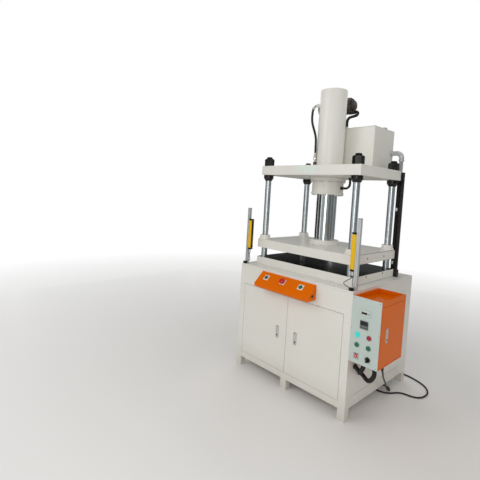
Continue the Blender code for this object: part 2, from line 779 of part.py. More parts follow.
def lock_handle(name, centre, face):
    """The pull handle of a flush lock, hinged near its top end."""
    face = Vector(face)
    across = Vector((abs(face.y), abs(face.x), 0.0))
    up = Vector((0.0, 0.0, 1.0))
    side = LOCK_WIDTH / 2 - LOCK_RIM - LOCK_SIDE_PLAY
    bottom = LOCK_LENGTH / 2 - LOCK_RIM - LOCK_SIDE_PLAY
    crest = LOCK_LENGTH / 2 - LOCK_RIM - LOCK_TOP_PLAY
    front = LOCK_PROUD
    pivot = centre + up * (crest - LOCK_PIVOT_DROP) + face * (front - LOCK_HANDLE_T / 2)
    ends = (
        centre - across * side - up * bottom + face * (front - LOCK_HANDLE_T),
        centre + across * side + up * crest + face * front,
    )
    low = [min(pair) for pair in zip(*ends)]
    high = [max(pair) for pair in zip(*ends)]
    empty = joint_empty(name + "_axis", pivot)
    soften(box(name, low, high, ZINC, pivot, empty), 0.0008)


def doors():
    """A pair of folded sheet doors on corner pins, each with a flush lock."""
    width = DOOR_PAIR_WIDTH / 2 - 0.0015
    for label, side in (("left", -1), ("right", 1)):
        outer = side * DOOR_PAIR_WIDTH / 2
        inner = outer - side * width
        axis_x = outer - side * HINGE_INSET
        empty = joint_empty("door_%s_axis" % label, (axis_x, HINGE_INSET, DOOR_BOTTOM))
        low_x = min(outer, inner)
        high_x = max(outer, inner)
        top = DOOR_BOTTOM + DOOR_HEIGHT
        door = pan(
            "door_%s" % label, (low_x, 0.0, DOOR_BOTTOM), (high_x, DOOR_FOLD, top), (0, 1, 0),
            DOOR_SHEET, WHITE, empty["at"], empty
        )
        pins = bmesh.new()
        for start, end in (
            (top - DOOR_SHEET / 2, top + HINGE_PIN_LENGTH * 0.75),
            (DOOR_BOTTOM - HINGE_PIN_LENGTH * 0.75, DOOR_BOTTOM + DOOR_SHEET / 2),
        ):
            rod(pins, HINGE_PIN_R, (axis_x, HINGE_INSET, start), (axis_x, HINGE_INSET, end), SMALL)
        fuse(door, place("door_%s_pins" % label, pins, None, empty["at"], empty))
        centre = Vector((side * FRONT_LOCK_X, 0.0, FRONT_LOCK_Z))
        lock_housing(door, centre, (0, -1, 0), "lock_%s" % label)
        lock_handle("lock_%s" % label, centre, (0, -1, 0))


def press_plate(name, low, thickness, hole_radius, lift_share=0.5):
    """A thick plate with the four column holes and two lifting holes in each end face."""
    plate = box(
        name, (-PLATE_RIGHT, PLATE_FRONT, low), (PLATE_RIGHT, PLATE_BACK, low + thickness), WHITE
    )
    soften(plate, PLATE_EDGE)
    holes = column_cutters(name + "_column_holes", hole_radius, low - thickness, low + 2 * thickness)
    lifts = bmesh.new()
    middle = low + thickness * lift_share
    for side in (-1, 1):
        for end in (-1, 1):
            y = CENTRE_Y + end * LIFT_HOLE_SPACING / 2
            rod(
                lifts, LIFT_HOLE_R, (side * (PLATE_RIGHT - LIFT_HOLE_DEPTH), y, middle),
                (side * (PLATE_RIGHT + LIFT_HOLE_DEPTH), y, middle), SMALL
            )
    return cut(plate, holes, place(name + "_lift_holes", lifts, None))


def plates():
    press_plate("bolster", CABINET_HEIGHT + GAP, BOLSTER_T - GAP, COLUMN_HOLE_R, BOLSTER_LIFT_SHARE)
    crown = press_plate("crown", CROWN_BOTTOM, CROWN_T, COLUMN_HOLE_R)
    cut(crown, cylinder(
        "crown_bore", CYLINDER_D / 2 + THREAD_FIT, (0.0, CENTRE_Y, CROWN_BOTTOM - CROWN_T),
        (0.0, CENTRE_Y, CROWN_TOP + CROWN_T), None, sides=FINE
    ))


def columns():
    """Four chromed columns, each turned with its collar under the crown and its nut under the table."""
    radius = COLUMN_D / 2
    nut_seat = CABINET_HEIGHT - CABINET_TOP_T - GAP
    foot = nut_seat - FOOT_NUT_HEIGHT - COLUMN_TIP
    head = CROWN_TOP + GAP + NUT_HEIGHT + COLUMN_TIP
    collar_top = CROWN_BOTTOM - GAP
    profile = [
        (0.0, head), (radius - COLUMN_CHAMFER, head), (radius, head - COLUMN_CHAMFER),
        (radius, collar_top), (COLLAR_D / 2, collar_top), (COLLAR_D / 2, collar_top - COLLAR_STRAIGHT),
        (radius + 0.002, collar_top - COLLAR_STRAIGHT - COLLAR_TAPER),
        (radius, collar_top - COLLAR_STRAIGHT - COLLAR_TAPER),
        (radius, foot + COLUMN_CHAMFER), (radius - COLUMN_CHAMFER, foot), (0.0, foot),
    ]
    hex_radius = NUT_FLATS / sqrt(3.0)
    for corner in CORNERS:
        x, y = column_at(corner)
        column = turned("column_" + corner, profile, CHROME, (x, y, 0.0))
        nut = cylinder(
            "foot_nut_" + corner, hex_radius, (x, y, nut_seat - FOOT_NUT_HEIGHT),
            (x, y, nut_seat), None, sides=6
        )
        fuse(column, nut)

        base = CROWN_TOP + GAP
        top = base + NUT_HEIGHT
        nut = cylinder("crown_nut_" + corner, hex_radius, (x, y, base), (x, y, top), BLACK_OXIDE, sides=6)
        dome = turned("nut_dome_" + corner, [
            (0.0, top + 0.001), (hex_radius - NUT_CHAMFER, top + 0.001),
            (hex_radius + 0.002, top - NUT_CHAMFER), (hex_radius + 0.002, base - 0.001), (0.0, base - 0.001),
        ], None, (x, y, 0.0))
        combine(nut, dome, "INTERSECT")
        cut(nut, cylinder(
            "nut_bore_" + corner, COLUMN_HOLE_R, (x, y, base - NUT_HEIGHT), (x, y, top + NUT_HEIGHT), None
        ))


def hydraulic_cylinder():
    """Bored cylinder hung under the crown by its flange, with a screwed gland below."""
    outer = CYLINDER_D / 2
    bore = BORE_D / 2
    chamfer = CYLINDER_TOP_CHAMFER
    tube_body = turned("cylinder_tube", [
        (0.0, CYLINDER_TOP), (outer - chamfer, CYLINDER_TOP), (outer, CYLINDER_TOP - chamfer),
        (outer, CROWN_BOTTOM - GAP), (MOUNT_FLANGE_D / 2 - 0.003, CROWN_BOTTOM - GAP),
        (MOUNT_FLANGE_D / 2, CROWN_BOTTOM - GAP - 0.003), (MOUNT_FLANGE_D / 2, FLANGE_BOTTOM),
        (bore, FLANGE_BOTTOM), (bore, CYLINDER_TOP - CYLINDER_CAP_T), (0.0, CYLINDER_TOP - CYLINDER_CAP_T),
    ], WHITE, (0.0, CENTRE_Y, 0.0), FINE)
    port = PORT_DIRECTION
    start = Vector((0.0, CENTRE_Y, PORT_Z)) + port * (outer - 0.004)
    end = Vector((0.0, CENTRE_Y, PORT_Z)) + port * (outer + PORT_BOSS_LENGTH)
    fuse(tube_body, cylinder("port_boss", PORT_BOSS_R, start, end, None, sides=SMALL))
    lifting = bmesh.new()
    rod(lifting, 0.009, (0.02, CENTRE_Y, CYLINDER_TOP - 0.004), (0.02, CENTRE_Y, CYLINDER_TOP + 0.014), 6)
    fuse(tube_body, place("bleed_plug", lifting, None))

    inner = RAM_D / 2 + SLIDE_FIT
    groove = inner + WIPER_GROOVE
    gland = turned("cylinder_gland", [
        (GLAND_D / 2, GLAND_TOP), (GLAND_D / 2, GLAND_BOTTOM + GLAND_RIM_T + 0.004),
        (GLAND_RIM_D / 2, GLAND_BOTTOM + GLAND_RIM_T), (GLAND_RIM_D / 2, GLAND_BOTTOM),
        (groove + 0.004, GLAND_BOTTOM), (inner, GLAND_BOTTOM + 0.006),
        (inner, GLAND_TOP - 3 * WIPER_GROOVE), (groove, GLAND_TOP - 3 * WIPER_GROOVE),
        (groove, GLAND_TOP - WIPER_GROOVE), (inner, GLAND_TOP - WIPER_GROOVE), (inner, GLAND_TOP),
    ], WHITE, (0.0, CENTRE_Y, 0.0), FINE, ring=True)
    screws = bmesh.new()
    for number in range(GLAND_SCREWS):
        angle = 2 * pi * (number + 0.5) / GLAND_SCREWS
        x = cos(angle) * GLAND_SCREW_CIRCLE / 2
        y = CENTRE_Y + sin(angle) * GLAND_SCREW_CIRCLE / 2
        rod(screws, GLAND_SCREW_R, (x, y, GLAND_BOTTOM - GLAND_SCREW_HEAD), (x, y, GLAND_BOTTOM + 0.003), 8)
    fuse(gland, place("gland_screws", screws, None))


def moving_head():
    """Ram with its piston and foot, the platen, four guide bushes and the trigger dog."""
    head = joint_empty("head_slide", (0.0, CENTRE_Y, PLATEN_TOP))
    rod_r = RAM_D / 2
    piston_r = BORE_D / 2 - SLIDE_FIT
    groove_r = piston_r - PISTON_GROOVE_DEPTH
    piston_top = PISTON_BOTTOM + PISTON_T
    foot_top = PLATEN_TOP + GAP + RAM_FOOT_T
    ring = foot_top + RAM_RING_HEIGHT
    seal = piston_top - 0.4 * PISTON_T
    profile = [
        (0.0, piston_top), (piston_r, piston_top), (piston_r, seal), (groove_r, seal),
        (groove_r, seal - PISTON_GROOVE), (piston_r, seal - PISTON_GROOVE),
        (piston_r, PISTON_BOTTOM), (rod_r, PISTON_BOTTOM), (rod_r, ring + WIPER_GROOVE),
        (rod_r - 0.002, ring + WIPER_GROOVE), (rod_r - 0.002, ring), (rod_r, ring),
        (rod_r, foot_top), (RAM_FOOT_D / 2 - 0.003, foot_top), (RAM_FOOT_D / 2, foot_top - 0.003),
        (RAM_FOOT_D / 2, PLATEN_TOP + GAP), (0.0, PLATEN_TOP + GAP),
    ]
    low = PLATEN_TOP
    turned(
        "ram", [(radius, height - low) for radius, height in profile], CHROME,
        (0.0, CENTRE_Y, low), FINE, head
    )

    platen = press_plate("platen", PLATEN_BOTTOM, PLATEN_T, BUSH_SPIGOT_D / 2 + THREAD_FIT)
    platen.parent = head
    platen.location = -Vector(head["at"])

    bore = COLUMN_D / 2 + SLIDE_FIT
    seat = PLATEN_TOP + GAP
    for corner in CORNERS:
        x, y = column_at(corner)
        turned("guide_bush_" + corner, [
            (BUSH_BODY_D / 2 - 0.002, BUSH_HEIGHT), (BUSH_BODY_D / 2, BUSH_HEIGHT - 0.002),
            (BUSH_BODY_D / 2, BUSH_FLANGE_T), (BUSH_FLANGE_D / 2, BUSH_FLANGE_T), (BUSH_FLANGE_D / 2, 0.0),
            (BUSH_SPIGOT_D / 2, 0.0), (BUSH_SPIGOT_D / 2, -PLATEN_T * 0.9), (bore, -PLATEN_T * 0.9),
            (bore, BUSH_HEIGHT - BUSH_WIPER), (bore + 0.002, BUSH_HEIGHT),
        ], CAST_WHITE, (x, y, seat), ROUND, head, ring=True)

    rail_middle = PLATE_RIGHT - RAIL_INSET + RAIL_WIDTH / 2
    dog = bmesh.new()
    middle = PLATEN_BOTTOM + PLATEN_T / 2
    block(
        dog, (rail_middle - DOG_WIDTH - 0.004, PLATE_BACK + GAP, middle - DOG_HEIGHT / 2),
        (rail_middle - 0.004, PLATE_BACK + DOG_REACH, middle + DOG_HEIGHT / 2)
    )
    soften(place("trigger_dog", dog, ZINC, head["at"], head), 0.001)


def oil_tank():
    """Sheet tank behind the cylinder with a bolted lid and filler, and the motor pump on its bracket."""
    pan(
        "oil_tank", (TANK_LEFT, TANK_FRONT, TANK_BOTTOM), (TANK_RIGHT, TANK_BACK, TANK_TOP), (0, 0, 1),
        TANK_SHEET, WHITE
    )
    lid = box(
        "tank_lid", (TANK_LEFT, TANK_FRONT, TANK_TOP + GAP), (TANK_RIGHT, TANK_BACK, LID_TOP), WHITE
    )
    x = TANK_RIGHT - FILLER_FROM_RIGHT
    y = TANK_BACK - FILLER_FROM_REAR
    filler = turned("tank_filler", [
        (0.0, FILLER_HEIGHT), (FILLER_R - 0.002, FILLER_HEIGHT), (FILLER_R, FILLER_HEIGHT - 0.002),
        (FILLER_R, FILLER_HEIGHT * 0.45), (FILLER_R * 0.75, FILLER_HEIGHT * 0.45),
        (FILLER_R * 0.75, -LID_T / 2), (0.0, -LID_T / 2),
    ], None, (x, y, LID_TOP), SMALL)
    fuse(lid, filler)

    deck = SHAFT_Z - MOTOR_FOOT_DROP - GAP
    seat = LID_TOP + GAP
    half = MOTOR_FOOT_WIDTH / 2
    left = MOTOR_LEFT + MOTOR_FAN_COVER
    bracket = bmesh.new()
    outline = (
        (-half - BRACKET_FOOT, seat), (-half, seat),
        (-half, deck - BRACKET_SHEET), (half, deck - BRACKET_SHEET),
        (half, seat), (half + BRACKET_FOOT, seat), (half + BRACKET_FOOT, seat + BRACKET_SHEET),
        (half + BRACKET_SHEET, seat + BRACKET_SHEET), (half + BRACKET_SHEET, deck),
        (-half - BRACKET_SHEET, deck), (-half - BRACKET_SHEET, seat + BRACKET_SHEET),
        (-half - BRACKET_FOOT, seat + BRACKET_SHEET),
    )
    corners = [bracket.verts.new((left, SHAFT_Y + y, z)) for y, z in outline]
    face = bracket.faces.new(corners)
    grown = bmesh.ops.extrude_face_region(bracket, geom=[face])["geom"]
    moved = [item for item in grown if isinstance(item, bmesh.types.BMVert)]
    bmesh.ops.translate(bracket, verts=moved, vec=(BRACKET_LENGTH, 0.0, 0.0))
    bmesh.ops.recalc_face_normals(bracket, faces=bracket.faces)
    place("motor_bracket", bracket, BLACK_PAINT)

    right = MOTOR_LEFT + MOTOR_LENGTH
    cover = MOTOR_R + MOTOR_FIN
    motor = turned("pump_motor", [
        (0.0, MOTOR_LENGTH), (BELL_R, MOTOR_LENGTH), (cover, MOTOR_LENGTH - 0.003),
        (cover, MOTOR_LENGTH - 0.016), (MOTOR_R, MOTOR_LENGTH - 0.016), (MOTOR_R, MOTOR_FAN_COVER),
        (cover, MOTOR_FAN_COVER), (cover, 0.008), (cover - 0.008, 0.0), (0.0, 0.0),
    ], BLACK_PAINT, (MOTOR_LEFT, SHAFT_Y, SHAFT_Z), ROUND, axis="X")
    fins = bmesh.new()
    for number in range(MOTOR_FINS):
        angle = 2 * pi * (number + 0.5) / MOTOR_FINS
        if abs(sin(angle / 2 + pi / 4)) < 0.35:
            continue
        made = block(
            fins, (MOTOR_LEFT + MOTOR_FAN_COVER - 0.001, MOTOR_R - 0.004, -0.0013),
            (right - 0.015, MOTOR_R + MOTOR_FIN - 0.001, 0.0013)
        )
        bmesh.ops.rotate(fins, verts=made, cent=(0, 0, 0), matrix=Matrix.Rotation(angle, 3, "X"))
    bmesh.ops.translate(fins, verts=fins.verts, vec=(0.0, SHAFT_Y, SHAFT_Z))
    feet = bmesh.new()
    block(
        feet, (left + 0.010, SHAFT_Y - half, SHAFT_Z - MOTOR_FOOT_DROP),
        (left + 0.100, SHAFT_Y + half, SHAFT_Z - MOTOR_FOOT_DROP + 0.020)
    )
    fuse(motor, place("motor_fins", fins, None), place("motor_feet", feet, None))

    start = right + GAP
    pump = turned("vane_pump", [
        (0.0, BELL_LENGTH + PUMP_LENGTH + PUMP_COVER_LENGTH),
        (PUMP_COVER_R - 0.006, BELL_LENGTH + PUMP_LENGTH + PUMP_COVER_LENGTH),
        (PUMP_COVER_R, BELL_LENGTH + PUMP_LENGTH + PUMP_COVER_LENGTH - 0.006),
        (PUMP_COVER_R, BELL_LENGTH + PUMP_LENGTH), (PUMP_R - 0.014, BELL_LENGTH + PUMP_LENGTH),
        (PUMP_R, BELL_LENGTH + PUMP_LENGTH - 0.018), (PUMP_R, BELL_LENGTH + 0.030),
        (PUMP_R - 0.008, BELL_LENGTH + 0.030), (PUMP_R - 0.008, BELL_LENGTH), (BELL_R - 0.012, BELL_LENGTH),
        (BELL_R - 0.012, 0.010), (BELL_R, 0.010), (BELL_R, 0.0), (0.0, 0.0),
    ], BLACK_PAINT, (start, SHAFT_Y, SHAFT_Z), ROUND, axis="X")
    end = start + BELL_LENGTH + PUMP_LENGTH
    inlet = bmesh.new()
    low = SHAFT_Z - PUMP_R + 0.012
    rod(inlet, SUCTION_HOSE_R + 0.005, (end - 0.030, SHAFT_Y, low), (end + 0.026, SHAFT_Y, low), SMALL)
    fuse(pump, place("pump_inlet", inlet, None))

    mouth = end + 0.026 + GAP
    port_x = end - 0.036
    route = smooth_route((
        (mouth, SHAFT_Y, low), (mouth + 0.010, SHAFT_Y, low), (mouth + 0.022, SHAFT_Y, low - 0.012),
        (mouth + 0.012, SHAFT_Y, low - 0.028), (mouth - 0.014, SHAFT_Y - 0.002, low - 0.034),
        (port_x + 0.016, SHAFT_Y - 0.006, low - 0.042), (port_x + 0.001, SHAFT_Y - 0.008, low - 0.066),
        (port_x, SHAFT_Y - 0.008, LID_TOP + 0.034), (port_x, SHAFT_Y - 0.008, LID_TOP + GAP),
    ), 0.012)
    widths = [1.0] * len(route)
    widths[-1] = widths[-2] = widths[-3] = 1.35
    tube("suction_hose", route, SUCTION_HOSE_R, RUBBER, widths)


def hoses():
    """Pressure hose down the cylinder's left, return hose under the crown, and the wiring riser."""
    boss = Vector((0.0, CENTRE_Y, PORT_Z)) + PORT_DIRECTION * (CYLINDER_D / 2 + PORT_BOSS_LENGTH + GAP)
    foot = Vector((boss.x + HOSE_FOOT_SHIFT[0], boss.y - HOSE_FOOT_SHIFT[1], CROWN_TOP + GAP))
    side = PORT_DIRECTION * HOSE_ELBOW
    up = Vector((0.0, 0.0, 1.0))
    down = -up * HOSE_ELBOW
    stations = [
        (boss, 1.25), (boss + side * 0.35, 1.25), (boss + side * 0.70 + down * 0.30, 1.1),
        (boss + side + down * 0.765, 1.1),
    ]
    points, widths = stepped(stations)
    bend = smooth_route((
        points[-1] + down * 0.09, boss + side * 1.12 + down * 1.82,
        boss + side + Vector((foot.x - boss.x, foot.y - boss.y, 0.0)) * 0.22 + down * 3.82,
        Vector((foot.x, foot.y, CROWN_TOP + HOSE_BEND_HIGH)) + side * 0.17,
        Vector((foot.x, foot.y, CROWN_TOP + HOSE_BEND_LOW)) + side * 0.03,
        foot + up * (HOSE_FERRULE_HIGH + 0.002),
    ), HOSE_STEP)
    points += bend
    widths += [1.0] * len(bend)
    ends, end_widths = stepped([
        (foot + up * HOSE_FERRULE_HIGH, 1.18), (foot + up * HOSE_FERRULE_LOW, 1.18),
        (foot + up * (HOSE_FERRULE_LOW - 0.002), 1.0), (foot + up * HOSE_NUT_HEIGHT, 1.45), (foot, 1.45),
    ])
    tube("pressure_hose", points + ends, PRESSURE_HOSE_R, RUBBER, widths + end_widths)

    middle = GLAND_BOTTOM + GLAND_HEIGHT * 0.52
    start = Vector((GLAND_D / 2 + GAP, CENTRE_Y, middle))
    reach = Vector((RETURN_REACH, 0.0, 0.0))
    rise = up * RETURN_REACH
    top = Vector((start.x + RETURN_REACH, CENTRE_Y, CROWN_BOTTOM - GAP))
    ends, end_widths = stepped([
        (start, 1.5), (start + reach * 0.20, 1.1), (start + reach * 0.345, 1.1),
    ])
    bend = smooth_route((
        start + reach * 0.37, start + reach * 0.66 + rise * 0.015, start + reach * 0.90 + rise * 0.17,
        start + reach + rise * 0.43, top - rise * 0.285,
    ), RETURN_REACH * 0.13)
    tips, tip_widths = stepped([(top - rise * 0.257, 1.5), (top, 1.5)])
    tube(
        "return_hose", ends + bend + tips, RETURN_HOSE_R, RUBBER, end_widths + [1.0] * len(bend) + tip_widths
    )

    y = TANK_BACK - RISER_FROM_REAR
    z = LID_TOP - RISER_BELOW_LID
    x = TANK_RIGHT + RISER_STAND_OFF
    start = Vector((TANK_RIGHT + GAP, y, z))
    bend_centre = Vector((x - RISER_BEND, y, z - RISER_BEND))
    arc = [
        bend_centre + Vector((sin(angle), 0.0, cos(angle))) * RISER_BEND
        for angle in (radians(9 * step) for step in range(11))
    ]
    foot = Vector((x, y, CABINET_HEIGHT + GAP))
    points = [start, start + Vector((0.014, 0, 0)), start + Vector((0.0145, 0, 0))] + arc
    widths = [1.35, 1.35, 1.0] + [1.0] * len(arc)
    points += [foot + Vector((0, 0, 0.0305)), foot + Vector((0, 0, 0.030)), foot]
    widths += [1.0, 1.35, 1.35]
    tube("conduit_riser", points, RISER_R, ZINC, widths)


def limit_rail():
    """Black C-section rail behind the right rear corner, with its crown bracket, foot and two sensors."""
    left = PLATE_RIGHT - RAIL_INSET
    right = left + RAIL_WIDTH
    front = PLATE_BACK + RAIL_STAND_OFF
    back = front + RAIL_DEPTH
    seat = CABINET_HEIGHT + GAP
    top = CROWN_TOP - RAIL_TOP_BELOW_CROWN_TOP
    rail = box("limit_rail", (left, front, seat), (right, back, top), BLACK_PAINT)
    middle = (left + right) / 2
    slot = bmesh.new()
    block(
        slot, (left + RAIL_WALL, front + RAIL_WALL, seat - RAIL_WALL),
        (right - RAIL_WALL, back - RAIL_WALL, top + RAIL_WALL)
    )
    mouth = bmesh.new()
    block(
        mouth, (middle - RAIL_SLOT / 2, front - RAIL_WALL, seat - RAIL_WALL),
        (middle + RAIL_SLOT / 2, front + 2 * RAIL_WALL, top + RAIL_WALL)
    )
    cut(rail, place("rail_hollow", slot, None), place("rail_mouth", mouth, None))
    extra = bmesh.new()
    block(
        extra, (left - RAIL_FOOT_EXTRA, front - RAIL_FOOT_EXTRA, seat),
        (right + RAIL_FOOT_EXTRA, back + RAIL_FOOT_EXTRA, seat + RAIL_FOOT_HEIGHT)
    )
    block(
        extra, (left + 0.002, PLATE_BACK + GAP, CROWN_BOTTOM + 0.015),
        (right - 0.012, front + RAIL_WALL / 2, CROWN_TOP - 0.015)
    )
    sensor_right = middle - RAIL_SLOT / 2 - 0.0005
    for height in (CABINET_HEIGHT + rise for rise in SENSORS_ABOVE_TABLE):
        block(
            extra,
            (sensor_right - SENSOR_WIDTH, front - SENSOR_PROUD, height - SENSOR_HEIGHT / 2),
            (sensor_right, front + RAIL_WALL / 2, height + SENSOR_HEIGHT / 2)
        )
    fuse(rail, place("rail_fittings", extra, None))


def post_section(bm, x, y, low, high):
    """An extruded aluminium bar with one slot down each side."""
    half = POST_SIZE / 2
    slot = POST_SLOT / 2
    deep = half - POST_SLOT_DEPTH
    quarter = [(half, -half), (half, -slot), (deep, -slot), (deep, slot), (half, slot)]
    outline = []
    for turn in range(4):
        c = round(cos(turn * pi / 2))
        s = round(sin(turn * pi / 2))
        outline += [(c * px - s * py, s * px + c * py) for px, py in quarter]
    corners = [bm.verts.new((x + px, y + py, low)) for px, py in outline]
    face = bm.faces.new(corners)
    grown = bmesh.ops.extrude_face_region(bm, geom=[face])["geom"]
    moved = [item for item in grown if isinstance(item, bmesh.types.BMVert)]
    bmesh.ops.translate(bm, verts=moved, vec=(0.0, 0.0, high - low))
    bmesh.ops.recalc_face_normals(bm, faces=bm.faces)


def light_curtains():
    """Two slotted posts at the table's front corners, each with a light-curtain bar and its lead."""
    low = CABINET_HEIGHT + GAP
    y = POST_FROM_FRONT + POST_SIZE / 2
    for label, side in (("left", -1), ("right", 1)):
        x = side * (SIDE - CABINET_SHEET - POST_SIZE / 2)
        bm = bmesh.new()
        post_section(bm, x, y, low, low + POST_HEIGHT)
        place("curtain_post_" + label, bm, ALUMINIUM)

        outer = x - side * (POST_SIZE / 2 + GAP)
        inner = outer - side * CURTAIN_WIDTH
        bottom = CABINET_HEIGHT + CURTAIN_ABOVE_TOP
        top = bottom + CURTAIN_LENGTH
        front = y - CURTAIN_DEPTH / 2
        shrink = CURTAIN_CAP_SHRINK
        bar = box(
            "light_curtain_" + label, (min(outer, inner), front, bottom + CURTAIN_CAP),
            (max(outer, inner), front + CURTAIN_DEPTH, top - CURTAIN_CAP), YELLOW
        )
        caps = bmesh.new()
        block(
            caps, (min(outer, inner) + shrink, front + shrink, bottom),
            (max(outer, inner) - shrink, front + CURTAIN_DEPTH - shrink, top)
        )
        window = box(
            "curtain_window_" + label,
            (inner - CURTAIN_WINDOW_DEPTH, y - CURTAIN_WINDOW / 2, bottom + 0.018),
            (inner + CURTAIN_WINDOW_DEPTH, y + CURTAIN_WINDOW / 2, top - 0.018), None
        )
        middle = (outer + inner) / 2
        end = bottom - PLUG_LENGTH
        block_x = side * (SIDE - 0.010 - LEAD_BLOCK / 2)
        block_low = Vector((block_x - LEAD_BLOCK / 2, 0.002, low))
        block_high = Vector((block_x + LEAD_BLOCK / 2, 0.002 + LEAD_BLOCK, low + LEAD_BLOCK_HEIGHT))
        route = smooth_route((
            (middle, y, end + 0.004), (middle - side * 0.003, y - 0.006, end - 0.012),
            (middle - side * 0.022, 0.022, end - 0.030), (middle - side * 0.037, 0.012, end - 0.046),
            (middle - side * 0.020, 0.006, end - 0.058), (middle + side * 0.004, 0.006, end - 0.066),
            (block_x, 0.012, low + LEAD_BLOCK_HEIGHT - 0.004),
        ), 0.010)
        tube_mesh = tube("lead_" + label, route, LEAD_R, None, sides_level=2)
        plug = cylinder(
            "curtain_plug_" + label, PLUG_R, (middle, y, end), (middle, y, bottom + 0.004), None, sides=SMALL
        )
        foot = bmesh.new()
        block(foot, block_low, block_high)
        fuse(bar, place("curtain_caps_" + label, caps, None), plug, tube_mesh)
        fuse(bar, place("lead_block_" + label, foot, None))
        cut(bar, window)


def push_cap(name, centre, normal, travel_label, material, lip=CAP_PROUD):
    """A round push-button cap with its stem, on a slide along its own axis."""
    normal = Vector(normal)
    empty = joint_empty(travel_label, centre)
    rim = BEZEL_PROUD + lip
    return turned(name, [
        (0.0, rim), (CAP_R - CAP_CHAMFER, rim), (CAP_R, rim - CAP_CHAMFER),
        (CAP_R, -CAP_STEM), (0.0, -CAP_STEM),
    ], material, centre, BUTTON_SIDES, empty, axis=normal)


def bezel_ring(bm, centre, normal, radius=BEZEL_R):
    centre = Vector(centre)
    normal = Vector(normal)
    rod(bm, radius, centre - normal * 0.001, centre + normal * BEZEL_PROUD, BUTTON_SIDES)


def console():
    """Sloping two-hand console of folded sheet, open at its back, with two start buttons and the stop."""
    left = CONSOLE_CENTRE - CONSOLE_WIDTH / 2
    right = left + CONSOLE_WIDTH
    back = -GAP
    outline = (
        (back, CONSOLE_TOP), (-CONSOLE_DEPTH, CONSOLE_TOP - CONSOLE_DROP),
        (-CONSOLE_DEPTH, CONSOLE_TOP - CONSOLE_DROP - CONSOLE_LIP),
        (back, CONSOLE_TOP - CONSOLE_DROP - CONSOLE_LIP),
    )
    bm = bmesh.new()
    corners = [bm.verts.new((left, y, z)) for y, z in outline]
    face = bm.faces.new(corners)
    grown = bmesh.ops.extrude_face_region(bm, geom=[face])["geom"]
    moved = [item for item in grown if isinstance(item, bmesh.types.BMVert)]
    bmesh.ops.translate(bm, verts=moved, vec=(right - left, 0.0, 0.0))
    bmesh.ops.recalc_face_normals(bm, faces=bm.faces)
    bm.normal_update()
    gone = [item for item in bm.faces if item.normal.y > 0.9]
    bmesh.ops.delete(bm, geom=gone, context="FACES_ONLY")
    shell = place("console", bm, ORANGE)
    wall = shell.modifiers.new("sheet", "SOLIDIFY")
    wall.thickness = CONSOLE_SHEET
    wall.offset = -1.0
    wall.use_even_offset = True

    slope_top = Vector((0.0, back, CONSOLE_TOP))
    middle_x = CONSOLE_CENTRE + CONSOLE_SHIFT
    rings = bmesh.new()
    holes = bmesh.new()
    for name, offset, radius, hole in (
        ("start_button_left", -CONSOLE_SPACING / 2, BEZEL_R, CAP_R),
        ("emergency_stop", 0.0, BEZEL_R, MUSHROOM_STEM_R),
        ("start_button_right", CONSOLE_SPACING / 2, BEZEL_R, CAP_R),
    ):
        centre = slope_top + CONSOLE_SLOPE * CONSOLE_ALONG_SLOPE + Vector((middle_x + offset, 0.0, 0.0))
        bezel_ring(rings, centre, CONSOLE_NORMAL, radius)
        rod(
            holes, hole + SLIDE_FIT, centre - CONSOLE_NORMAL * CAP_STEM,
            centre + CONSOLE_NORMAL * CAP_STEM, BUTTON_SIDES
        )
        if name == "emergency_stop":
            empty = joint_empty("emergency_stop_axis", centre)
            lift = BEZEL_PROUD + BUTTON_TRAVEL + 0.001
            turned(name, [
                (0.0, lift + MUSHROOM_H), (MUSHROOM_R * 0.55, lift + MUSHROOM_H * 0.93),
                (MUSHROOM_R * 0.9, lift + MUSHROOM_H * 0.68), (MUSHROOM_R, lift + MUSHROOM_H * 0.35),
                (MUSHROOM_R * 0.97, lift), (MUSHROOM_STEM_R, lift),
                (MUSHROOM_STEM_R, -CAP_STEM), (0.0, -CAP_STEM),
            ], RED, centre, ROUND, empty, axis=CONSOLE_NORMAL)
        else:
            push_cap(name, centre, CONSOLE_NORMAL, name + "_axis", GREEN)
    fuse(shell, place("console_bezels", rings, None))
    behind = box(
        "console_back_plane", (left - CONSOLE_SHEET, back, CONSOLE_TOP - 2 * CONSOLE_DEPTH),
        (right + CONSOLE_SHEET, CONSOLE_DEPTH, CONSOLE_TOP + CONSOLE_DEPTH), None
    )
    cut(shell, place("console_holes", holes, None), behind)


